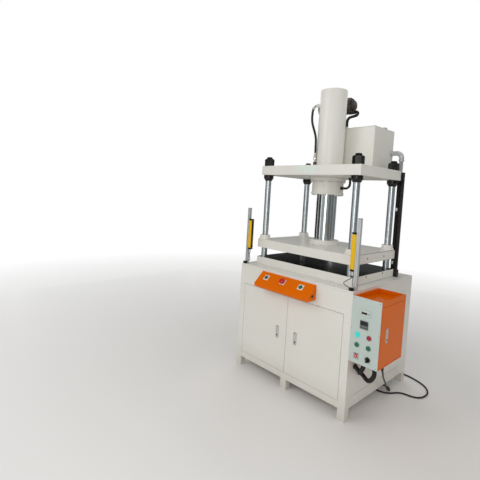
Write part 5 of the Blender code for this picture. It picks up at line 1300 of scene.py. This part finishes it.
class PRESS_OT_pump_set(bpy.types.Operator):
    """Build the finned motor, the bell housing and the vane pump on their bracket"""
    bl_idname = "press.pump_set"
    bl_label = "Pump set"

    def execute(self, context):
        dress("motor_bracket", "black", 0.0015)
        low, high = cad("pump_motor")
        end = Vector((low.x, middle_of("vane_pump").y, high.z - MOTOR_R))
        bm = bmesh.new()
        turned(bm, [
            (0.0, 0.165), (0.056, 0.165), (0.069, 0.164), (0.0705, 0.162), (MOTOR_R, 0.160), (MOTOR_R, 0.151),
            (0.0705, 0.1495), (0.060, 0.149), (0.060, 0.046), (0.0705, 0.0455), (MOTOR_R, 0.044),
            (MOTOR_R, 0.010), (0.0695, 0.0045), (0.0655, 0.001), (0.062, 0.0), (0.0, 0.0),
        ], end, ALONG, 96)

        def above_feet(angle):
            """Whether a fin stands at an angle; none does where the motor sits on its feet."""
            return not 0.75 * pi < (angle + pi / 2) % (2 * pi) < 1.25 * pi

        ringed(
            bm, 36, (0.0455, -0.0010, 0.057), (0.1495, 0.0010, 0.0700), 0.0006, end, "X", -pi / 2, above_feet
        )
        for low_y, high_y, low_z, high_z, edge in (
            (-0.062, 0.062, -0.074, -0.066, 0.0015), (-0.050, -0.030, -0.068, -0.045, 0.002),
            (0.030, 0.050, -0.068, -0.045, 0.002),
        ):
            block(bm, end + Vector((0.055, low_y, low_z)), end + Vector((0.145, high_y, high_z)), edge)
        motor = settle("finned_motor", bm, "black")
        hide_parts("pump_motor")
        # The grille's holes are black discs let into the cowl's end face: painted shade, since the holes are
        # not cut
        holes = []
        for ring, count in ((0.020, 10), (0.034, 16), (0.048, 22)):
            for across, rise in round_places(count, ring):
                spot = end + Vector((-0.0002, across, rise))
                holes.append((0.0038, spot, spot + ALONG * 0.002, 12, 0.0))
        rods_piece("fan_grille_hole_shade", "display", holes)

        start = Vector((cad("vane_pump")[0].x, end.y, end.z))
        bm = bmesh.new()
        turned(bm, [
            (0.0, 0.138), (0.0300, 0.138), (0.0345, 0.1368), (0.037, 0.1335), (0.037, 0.1192),
            (0.0385, PUMP_FACE), (0.0495, PUMP_FACE), (0.0535, 0.1165), (0.0640, 0.1015),
            (0.0645, 0.0995), (0.0645, 0.0655), (0.0635, 0.0640), (0.0565, 0.0640), (0.0565, 0.034),
            (0.044, 0.034), (0.044, 0.0115), (0.0555, 0.0105), (0.056, 0.0095), (0.056, 0.0), (0.0, 0.0),
        ], start, ALONG, 96)
        port = start - UP * PORT_DROP
        rod(bm, 0.016, port + ALONG * 0.088, port + ALONG * 0.143, 32, edge=0.001)
        rod(bm, 0.0185, port + ALONG * 0.137, port + ALONG * 0.143, 6, edge=0.0006)
        for across, rise in round_places(4, 1.0, 0.5):
            spoke = Vector((0.0, across, rise))
            for radius, reach, near, far in ((0.0062, 0.044, 0.117, 0.1245), (0.0055, 0.0495, 0.010, 0.0165)):
                spot = start + spoke * reach
                rod(bm, radius, spot + ALONG * near, spot + ALONG * far, 6, edge=0.0005)
        ringed(bm, 4, (0.009, -0.003, 0.043), (0.0345, 0.003, 0.0545), 0.001, start, "X", pi / 2)
        pump = settle("pump_casting", bm, "casting")
        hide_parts("vane_pump")
        return {"FINISHED"}


HOSE_R = 0.0085
SUCTION_R = 0.011
RISER_R = 0.0145
RISER_BEND = 0.040
RISER_REACH = 0.043
BOSS_REACH = 0.112
RETURN_REACH = 0.070
RETURN_SHARE = 0.48


class PRESS_OT_hoses(bpy.types.Operator):
    """Run the suction, pressure and return hoses and the galvanised riser"""
    bl_idname = "press.hoses"
    bl_label = "Hoses"

    def execute(self, context):
        crown_low, crown_high = cad("crown")
        y = middle_of("crown").y
        crown = crown_high.z
        way = PORT_WAY
        boss = Vector((0.0, y, crown + PORT_RISE)) + way * (BOSS_REACH + GAP)
        foot = Vector((boss.x + 0.021, boss.y - 0.024, crown + GAP))

        elbow = even_path([
            boss + way * reach - UP * fall
            for reach, fall in ((-0.001, 0.0), (0.010, 0.0), (0.018, 0.004), (0.026, 0.013), (0.034, 0.026))
        ], 0.002)
        tube("port_elbow", elbow, HOSE_R, "zinc", sides=6)
        tip = elbow[-1]
        back = (elbow[-2] - tip).normalized()
        rods_piece("port_elbow_nuts", "zinc", [
            (0.0118, boss, boss + way * 0.0085, 6, 0.0006), (0.0112, tip + back * 0.010, tip, 6, 0.0006),
        ])
        route = even_path((
            tip, boss + way * 0.038 - UP * 0.062, boss + way * 0.034 + Vector((0.004, -0.006, -0.130)),
            Vector((foot.x - 0.006, foot.y - 0.002, crown + 0.235)),
            Vector((foot.x - 0.001, foot.y, crown + 0.150)), foot + UP * 0.108,
        ), 0.008)
        hose = tube("pressure_line", route, HOSE_R, "rubber", sides=7)
        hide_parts("pressure_hose")
        rods_piece("pressure_line_ferrule", "zinc", [
            (radius, foot + UP * low, foot + UP * high, sides, 0.0006)
            for low, high, radius, sides in (
                (0.075, 0.111, 0.0099, 32), (0.060, 0.077, 0.0112, 6), (0.040, 0.062, 0.0084, 32),
            )
        ])
        rods_piece("pressure_line_foot", "oxide", [(0.0121, foot, foot + UP * 0.042, 6, 0.0008)])

        start = Vector((GLAND_R + GAP, y, cad("cylinder_gland")[1].z - GLAND_HEIGHT * RETURN_SHARE))
        top = Vector((start.x + RETURN_REACH, y, crown_low.z - GAP))
        bend = even_path([
            start + Vector((reach, 0.0, rise))
            for reach, rise in (
                (0.016, 0.0), (0.030, 0.0), (0.046, 0.001), (0.063, 0.012), (RETURN_REACH, 0.030),
            )
        ] + [top - UP * 0.012], 0.004)
        hose = tube("return_line", bend, HOSE_R, "rubber", sides=7)
        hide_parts("return_hose")
        rods_piece("return_line_nuts", "oxide", [
            (0.0125, start, start + ALONG * 0.013, 6, 0.0007),
            (0.0095, start + ALONG * 0.012, start + ALONG * 0.026, 32, 0.0006),
            (0.0125, top - UP * 0.017, top, 6, 0.0007),
        ])

        lid = cad("tank_lid")[0].z + LID_T
        end = cad("vane_pump")[0].x + PUMP_FACE
        axis_y = middle_of("vane_pump").y
        mouth = Vector((end + 0.026 + GAP, axis_y, cad("pump_motor")[1].z - MOTOR_R - PORT_DROP))
        port = Vector((end - 0.036, axis_y - 0.008, lid))
        high = mouth.z - lid
        route = even_path([
            mouth + Vector(step) for step in (
                (-0.001, 0.0, 0.0), (0.010, 0.0, 0.0), (0.022, 0.0, -0.012), (0.012, 0.0, -0.028),
                (-0.014, -0.002, -0.034),
            )
        ] + [
            port + Vector(step) for step in (
                (0.016, 0.002, high - 0.042), (0.001, 0.0, high - 0.066), (0.0, 0.0, 0.034),
                (0.0, 0.0, 0.020),
            )
        ], 0.004)
        hose = tube("suction_line", route, SUCTION_R, "rubber", sides=7)
        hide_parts("suction_hose")
        rods_piece("suction_line_nut", "zinc", [
            (0.0148, port + UP * GAP, port + UP * 0.014, 6, 0.0008),
            (0.0125, port + UP * 0.012, port + UP * 0.034, 32, 0.0006),
        ])

        tank_high = cad("oil_tank")[1]
        start = Vector((tank_high.x + GAP, tank_high.y - OUTLET_INSET, lid - OUTLET_DROP))
        centre = Vector((tank_high.x + RISER_REACH, start.y, start.z - RISER_BEND))
        arc = [
            centre + Vector((sin(angle), 0.0, cos(angle))) * RISER_BEND
            for angle in (radians(5 * step) for step in range(19))
        ]
        base = Vector((centre.x + RISER_BEND, start.y, cad("cabinet_top")[1].z + GAP))
        shoulder = arc[-1] - UP * 0.020
        path = [start] + arc + [shoulder, shoulder - UP * 0.0006, base]
        widths = [1.26] * (len(path) - 2) + [1.0, 1.0]
        pipe = tube("riser_pipe", path, RISER_R, "galvanised", widths=widths, sides=8)
        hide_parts("conduit_riser")
        rods_piece("riser_couplings", "galvanised", [
            (0.0205, start, start + ALONG * 0.010, 32, 0.001), (0.0185, base, base + UP * 0.031, 32, 0.001),
            (0.0200, shoulder - UP * 0.002, shoulder + UP * 0.010, 32, 0.001),
        ])
        return {"FINISHED"}


SENSOR_HEIGHTS = (0.923, 1.318)


class PRESS_OT_limit_rail(bpy.types.Operator):
    """Paint the limit-switch rail and fit its sensors and inner strip"""
    bl_idname = "press.limit_rail"
    bl_label = "Limit rail"

    def execute(self, context):
        dress("limit_rail", "black", 0.0008)
        low, high = cad("limit_rail")
        platen = cad("platen")[1]
        middle = platen.x - 0.007
        front = platen.y + 0.012
        block_piece(
            "rail_inner_strip", "zinc", (middle - 0.0035, front + 0.0150, low.z + 0.055),
            (middle + 0.0035, front + 0.0168, high.z - 0.004), 0.0004, 1
        )
        bm = bmesh.new()
        leads = []
        for height in SENSOR_HEIGHTS:
            spot = Vector((middle - 0.0135, front, height))
            block(bm, spot - Vector((0.0092, 0.0034, 0.0122)), spot + Vector((0.0092, 0.001, 0.0122)), 0.0008)
            rod(bm, 0.0042, spot + Vector((0.0, -0.0036, 0.003)), spot + Vector((0.0, -0.002, 0.003)), 20)
            leads.append((
                0.0028, spot + Vector((0.0, -0.0012, -0.010)), spot + Vector((0.0, -0.0012, -0.030)), 16, 0.0
            ))
        settle("limit_sensors", bm, "white_abs")
        rods_piece("limit_sensor_leads", "sheath", leads)
        return {"FINISHED"}


BAR_WIDTH = 0.028
BAR_DEPTH = 0.030
BAR_LENGTH = 0.241
BAR_RISE = 0.114
CAP_T = 0.0122


class PRESS_OT_light_curtains(bpy.types.Operator):
    """Build the two light-curtain bars with caps, windows and leads on their slotted posts"""
    bl_idname = "press.light_curtains"
    bl_label = "Light curtains"

    def execute(self, context):
        top_high = cad("cabinet_top")[1]
        table = top_high.z
        for label, side in (("left", -1), ("right", 1)):
            post = "curtain_post_" + label
            dress(post, "aluminium", 0.0005)
            low, high = cad(post)
            x, y = middle_of(post).xy
            cap = "grey_abs" if side > 0 else "white_abs"
            block_piece("post_cap_" + label, cap, (low.x, low.y, high.z), high + UP * 0.003, 0.001)
            bm = bmesh.new()
            flank = x - side * 0.011
            for wide, rise in ((0.016, 0.003), (0.003, 0.022)):
                near = (flank, y - 0.010, table + GAP)
                block(bm, near, (flank - side * wide, y + 0.010, table + rise), 0.0006)
            settle("post_foot_" + label, bm, "aluminium")

            outer = flank - side * GAP
            inner = outer - side * BAR_WIDTH
            bottom = table + BAR_RISE
            top = bottom + BAR_LENGTH
            front = y - BAR_DEPTH / 2
            bar = block_piece(
                "curtain_bar_" + label, "yellow", (outer, front, bottom + 0.012),
                (inner, front + BAR_DEPTH, top - 0.012), 0.0022, 3
            )
            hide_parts("light_curtain_" + label)
            bm = bmesh.new()
            for start in (bottom, top - CAP_T):
                block(
                    bm, (outer - side * 0.0004, front + 0.0004, start),
                    (inner + side * 0.0004, front + BAR_DEPTH - 0.0004, start + CAP_T), 0.0016
                )
            settle("curtain_caps_" + label, bm, "abs")
            block_piece(
                "curtain_window_" + label, "window", (inner - side * 0.0003, y - 0.0105, bottom + 0.0135),
                (inner + side * 0.002, y + 0.0105, top - 0.0135), 0.0002, 1
            )

            middle = (outer + inner) / 2
            end = bottom - 0.030
            turned_piece("curtain_plug_" + label, "white_abs", [
                (0.0, 0.0), (0.0032, 0.0), (0.0040, 0.004), (0.0062, 0.007), (0.0065, 0.008), (0.0065, 0.022),
                (0.0060, 0.023), (0.0060, 0.0305), (0.0, 0.0305),
            ], (middle, y, end), steps=32)
            block_x = side * (top_high.x - 0.010 - 0.012)
            route = even_path((
                (middle, y, end + 0.004), (middle - side * 0.003, y - 0.006, end - 0.012),
                (middle - side * 0.022, 0.022, end - 0.030), (middle - side * 0.037, 0.012, end - 0.046),
                (middle - side * 0.020, 0.006, end - 0.058), (middle + side * 0.004, 0.006, end - 0.066),
                (block_x, 0.012, table + 0.014),
            ), 0.003)
            tube("curtain_lead_" + label, route, 0.0022, "sheath", sides=4)
            block_piece(
                "lead_block_" + label, "abs", (block_x - 0.012, 0.002, table + GAP),
                (block_x + 0.012, 0.026, table + 0.018), 0.002
            )
        return {"FINISHED"}


SLOPE_DOWN = Vector((0.0, -0.088, -0.080)).normalized()
SLOPE_OUT = Vector((0.0, -0.080, 0.088)).normalized()
BUTTON_PITCH = 0.1555
BUTTON_DROP = 0.050
STEM_DEPTH = -0.012
END_PLUG_Y = -0.040
END_PLUG_Z = 0.7315


def lay_on(made, bm, centre, normal, down):
    """Turn points drawn round the origin, Z outwards and Y uphill, onto a sloping face."""
    side = normal.cross(down)
    turn = Matrix((side, -down, normal)).transposed()
    bmesh.ops.rotate(bm, verts=made, cent=ORIGIN, matrix=turn)
    bmesh.ops.translate(bm, verts=made, vec=centre)


def push_cap(name, node, body, centre, normal, key):
    """A round cap with a soft edge and a faint dish, on its stem."""
    piece = turned_piece(name, key, [
        (0.0, 0.0078), (0.0070, 0.0080), (0.0098, 0.0084), (0.0108, 0.0083), (0.0115, 0.0078),
        (0.0118, 0.0070), (0.0118, STEM_DEPTH), (0.0, STEM_DEPTH),
    ], centre, normal, 48, body)
    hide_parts(node)


def bezel(name, key, centre, normal, radius=0.0148, proud=0.0047):
    """A ring round a button, rounded on top."""
    turned_piece(name, key, [
        (0.0123, proud), (radius - 0.0016, proud), (radius - 0.0006, proud - 0.0004),
        (radius, proud - 0.0014), (radius + 0.0001, -0.0005), (0.0123, -0.0005), (0.0123, proud),
    ], centre, normal, 48)


class PRESS_OT_console(bpy.types.Operator):
    """Paint the two-hand console and fit its buttons, plates and end plug"""
    bl_idname = "press.console"
    bl_label = "Console"

    def execute(self, context):
        dress("console", "orange", 0.0012)
        high = cad("console")[1]
        side = sizes().button_plate / 2
        middle = Vector((middle_of("console").x - 0.014, -GAP, high.z)) + SLOPE_DOWN * BUTTON_DROP
        for label, offset in (("left", -BUTTON_PITCH), ("stop", 0.0), ("right", BUTTON_PITCH)):
            centre = middle + ALONG * offset
            bm = bmesh.new()
            made = block(bm, (-side, -side, -0.0002), (side, side, 0.0011), 0.0004)
            lay_on(made, bm, centre, SLOPE_OUT, SLOPE_DOWN)
            settle("button_plate_" + label, bm, "white_abs")
            bezel("console_bezel_" + label, "red" if label == "stop" else "green", centre, SLOPE_OUT)
        for label, offset in (("left", -BUTTON_PITCH), ("right", BUTTON_PITCH)):
            push_cap(
                "start_cap_" + label, "start_button_" + label, "start_" + label, middle + ALONG * offset,
                SLOPE_OUT, "green"
            )
        stop = turned_piece("stop_mushroom", "red", [
            (0.0, 0.0255), (0.0075, 0.0251), (0.0125, 0.0238), (0.0168, 0.0213), (0.0196, 0.0179),
            (0.0208, 0.0147), (0.021, 0.0125), (0.0206, 0.0103), (0.0200, 0.0095), (0.009, 0.0095),
            (0.009, STEM_DEPTH), (0.0, STEM_DEPTH),
        ], middle, SLOPE_OUT, 64, "emergency_stop", 40.0)
        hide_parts("emergency_stop")
        spot = Vector((high.x, END_PLUG_Y, END_PLUG_Z))
        rods_piece("console_end_plug", "abs", [
            (0.0095, spot - ALONG * 0.002, spot + ALONG * 0.0022, 32, 0.0008),
            (0.0050, spot + ALONG * 0.0015, spot + ALONG * 0.0032, 24, 0.0006),
        ])
        return {"FINISHED"}


# Places on the control panel, from its lower left corner
READOUT_ACROSS = 0.0852
COUNTER_UP = 0.3135
TIMER_UP = 0.2425
BUTTONS_ACROSS = (0.0477, 0.1207)
BUTTONS_UP = (0.1745, 0.1135, 0.0455)
SCREW_INSET = 0.010
SIDE_SCREW_INSET = 0.0065
SIDE_SCREW_UP = 0.2045


def on_panel(x, z, wide, high, proud, deep):
    """Opposite corners of a box of a width and height on the panel, proud of Y = 0 and deep to it."""
    return (x - wide / 2, -proud, z - high / 2), (x + wide / 2, -deep, z + high / 2)


class PRESS_OT_control_box(bpy.types.Operator):
    """Paint the control box and fit its panel's instruments, buttons and screws"""
    bl_idname = "press.control_box"
    bl_label = "Control box"

    def execute(self, context):
        dress("control_box", "orange", 0.0012)
        edge = cad("control_box")[1].x
        dress("control_box_door", ("orange", "satin"), 0.0, dish_of("lock_side", 1, edge))
        dress("control_panel", "panel")
        panel_low, panel_high = cad("control_panel")
        left = panel_low.x
        floor = panel_low.z

        x = left + READOUT_ACROSS
        z = floor + COUNTER_UP
        block_piece("counter_frame", "counter_abs", *on_panel(x, z, 0.068, 0.032, 0.0054, 0.0010), 0.0016)
        window = on_panel(x - 0.002, z, 0.036, 0.0124, 0.0058, 0.0050)
        block_piece("counter_window", "display", *window, 0.0003, 1)
        rods_piece("counter_reset_key", "grey_abs", [
            (0.0042, (x + 0.0260, -0.0050, z), (x + 0.0260, -0.0068, z), 24, 0.0005),
        ])

        z = floor + TIMER_UP
        block_piece("timer_frame", "slate_abs", *on_panel(x, z, 0.0488, 0.0488, 0.0064, 0.0010), 0.0014)
        lower = on_panel(x, z - 0.012, 0.043, 0.018, 0.0067, 0.0060)
        block_piece("timer_lower_face", "grey_abs", *lower, 0.0004, 1)
        window = on_panel(x, z + 0.010, 0.043, 0.023, 0.0069, 0.0060)
        block_piece("timer_window", "display", *window, 0.0005, 1)
        bm = bmesh.new()
        for number in range(4):
            key = x - 0.0155 + 0.01033 * number
            block(bm, *on_panel(key, z - 0.01275, 0.0072, 0.0075, 0.0072, 0.0060), 0.0005, 1)
        settle("timer_keys", bm, "abs")

        columns = [left + across for across in BUTTONS_ACROSS]
        rows = [floor + rise for rise in BUTTONS_UP]
        for name, row, column, key in (
            ("lamp", 0, 0, "lens"), ("stop", 0, 1, "crimson"), ("up", 1, 0, "green"), ("down", 1, 1, "green"),
        ):
            spot = Vector((columns[column], 0.0, rows[row]))
            bezel(name + "_bezel", key, spot, FRONT, 0.0164 if key == "lens" else 0.0150)
            push_cap(name + "_cap", name + "_button", name + "_button", spot, FRONT, key)

        x, z = columns[1], rows[2]
        spot = Vector((x, 0.0, z))
        bezel("selector_bezel", "abs", spot, FRONT, 0.0160)
        bm = bmesh.new()
        turned(bm, [
            (0.0, 0.0105), (0.0098, 0.0105), (0.0112, 0.0099), (0.0118, 0.0085), (0.0118, STEM_DEPTH),
            (0.0, STEM_DEPTH),
        ], spot, FRONT, 48)
        block(bm, *on_panel(x, z, 0.008, 0.0232, 0.0213, 0.0095), 0.0016, 3)
        knob = settle("selector_knob", bm, "abs", "mode_selector")
        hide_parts("mode_selector")
        mark = on_panel(x, z + 0.00575, 0.0012, 0.0085, 0.0216, 0.0210)
        block_piece("selector_mark", "white_abs", *mark, 0.0002, 1, "mode_selector")

        x = columns[0]
        bm = bmesh.new()
        block(bm, *on_panel(x, z, 0.0274, 0.0334, 0.0036, 0.0008))
        bm.normal_update()
        face = [item for item in bm.faces if item.normal.y < -0.9]
        bmesh.ops.inset_region(bm, faces=face, thickness=0.0040, use_even_offset=True)
        sunk = list({vert for item in face for vert in item.verts})
        bmesh.ops.translate(bm, verts=sunk, vec=(0.0, 0.0026, 0.0))
        settle("rocker_frame", bm, "abs")
        low, high = cad("power_rocker")
        bm = bmesh.new()
        outline = (
            (-0.0060, high.z - 0.0001), (-0.0025, (low.z + high.z) / 2), (-0.0032, low.z + 0.0001),
            (0.008, low.z + 0.0031), (0.008, high.z - 0.0019),
        )
        corners = [bm.verts.new((low.x + 0.0001, depth, level)) for depth, level in outline]
        grown = bmesh.ops.extrude_face_region(bm, geom=[bm.faces.new(corners)])["geom"]
        moved = [item for item in grown if isinstance(item, bmesh.types.BMVert)]
        bmesh.ops.translate(bm, verts=moved, vec=(high.x - low.x - 0.0002, 0.0, 0.0))
        round_edges(bm, bm.edges[:], 0.0006)
        rocker = settle("rocker_key", bm, "rocker", "power_rocker")
        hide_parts("power_rocker")
        lens = on_panel(x, z, 0.0068, 0.0072, 0.0040, 0.0020)
        block_piece("rocker_lens", "glow", *lens, 0.0006, 2, "power_rocker")

        head = sizes().screw_head
        top = panel_high.z - floor - SCREW_INSET
        wide = panel_high.x - left
        bm = bmesh.new()
        # The screws' cross slots are black bars set into the heads: painted shade of the slots
        slots = bmesh.new()
        for across, height in (
            (SCREW_INSET, top), (wide / 2, top), (wide - SCREW_INSET, top),
            (SIDE_SCREW_INSET, SIDE_SCREW_UP), (wide - SIDE_SCREW_INSET, SIDE_SCREW_UP),
            (SCREW_INSET, SCREW_INSET), (wide - SCREW_INSET, SCREW_INSET),
        ):
            spot = Vector((left + across, 0.0, floor + height))
            turned(bm, [
                (0.0, 0.0018), (head * 0.5, 0.0016), (head * 0.85, 0.0010), (head, 0.0001),
                (head, -0.0004), (0.0, -0.0004),
            ], spot, FRONT, 24)
            for turn in (0.4, pi / 2 + 0.4):
                made = block(slots, (-head * 0.6, -0.0021, -0.00035), (head * 0.6, -0.0012, 0.00035))
                bmesh.ops.rotate(slots, verts=made, cent=ORIGIN, matrix=Matrix.Rotation(turn, 3, "Y"))
                bmesh.ops.translate(slots, verts=made, vec=spot)
        settle("panel_screws", bm, "zinc")
        settle("panel_screw_slot_shade", slots, "display")
        return {"FINISHED"}


CONDUIT_R = 0.0135
# Name, node, start in X and Y, fall below the panel's floor and run aft to the cabinet's side
CONDUITS = (
    ("ribbed_conduit_front", "box_conduit_front", 0.560, 0.060, 0.062, 0.020),
    ("ribbed_conduit_rear", "box_conduit_rear", 0.615, 0.090, 0.118, 0.050),
)


class PRESS_OT_box_wiring(bpy.types.Operator):
    """Run the two corrugated conduits from the control box into the cabinet"""
    bl_idname = "press.box_wiring"
    bl_label = "Box wiring"

    def execute(self, context):
        wall = cad("cabinet_top")[1].x + GAP
        floor = cad("control_panel")[0].z
        pitch = sizes().ridge_pitch
        nuts = []
        for name, node, x, y, drop, aft in CONDUITS:
            start = Vector((x, y, floor - GAP))
            end = Vector((wall, y + aft, floor - drop))
            turn = x - wall
            path = even_path((
                start, start - UP * 0.020, start + Vector((-0.004, aft * 0.15, -drop * 0.72)),
                start + Vector((-turn * 0.36, aft * 0.5, -drop - 0.016)),
                start + Vector((-turn * 0.75, aft * 0.9, -drop - 0.004)), end + ALONG * 0.012, end,
            ), pitch / 4)
            widths = [(1.0, 0.97, 0.84, 0.97)[number % 4] for number in range(len(path))]
            pipe = tube(name, path, CONDUIT_R, "sheath", widths=widths, sides=7)
            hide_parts(node)
            nuts.append((0.0165, start, start - UP * 0.013, 6, 0.0008))
            nuts.append((0.0165, end, end + ALONG * 0.011, 6, 0.0008))
        rods_piece("conduit_nuts", "abs", nuts)
        return {"FINISHED"}


class PRESS_PT_panel(bpy.types.Panel):
    """Buttons and settings of the press"""
    bl_idname = "PRESS_PT_panel"
    bl_label = "Press"
    bl_space_type = "VIEW_3D"
    bl_region_type = "UI"
    bl_category = "Press"

    def draw(self, context):
        for group in (context.scene.press_finishes, context.scene.press_sizes):
            for key in group.bl_rna.properties.keys():
                if key not in {"rna_type", "name"}:
                    self.layout.prop(group, key)
        for step in STEPS:
            self.layout.operator(step.bl_idname)


STEPS = (
    PRESS_OT_camera, PRESS_OT_power_cable, PRESS_OT_stage, PRESS_OT_cabinet, PRESS_OT_locks, PRESS_OT_plates,
    PRESS_OT_columns, PRESS_OT_cylinder, PRESS_OT_ram, PRESS_OT_oil_tank, PRESS_OT_pump_set, PRESS_OT_hoses,
    PRESS_OT_limit_rail, PRESS_OT_light_curtains, PRESS_OT_console, PRESS_OT_control_box, PRESS_OT_box_wiring,
)


def register():
    for kind in (PressFinishes, PressSizes, *STEPS, PRESS_PT_panel):
        bpy.utils.register_class(kind)
    bpy.types.Scene.press_finishes = PointerProperty(type=PressFinishes)
    bpy.types.Scene.press_sizes = PointerProperty(type=PressSizes)


def unregister():
    del bpy.types.Scene.press_sizes
    del bpy.types.Scene.press_finishes
    for kind in reversed((PressFinishes, PressSizes, *STEPS, PRESS_PT_panel)):
        bpy.utils.unregister_class(kind)


def main():
    register()
    bpy.ops.press.camera()
    bpy.ops.press.power_cable()
    bpy.ops.press.stage()
    bpy.ops.press.cabinet()
    bpy.ops.press.locks()
    bpy.ops.press.plates()
    bpy.ops.press.columns()
    bpy.ops.press.cylinder()
    bpy.ops.press.ram()
    bpy.ops.press.oil_tank()
    bpy.ops.press.pump_set()
    bpy.ops.press.hoses()
    bpy.ops.press.limit_rail()
    bpy.ops.press.light_curtains()
    bpy.ops.press.console()
    bpy.ops.press.control_box()
    bpy.ops.press.box_wiring()


if __name__ == "__main__":
    main()
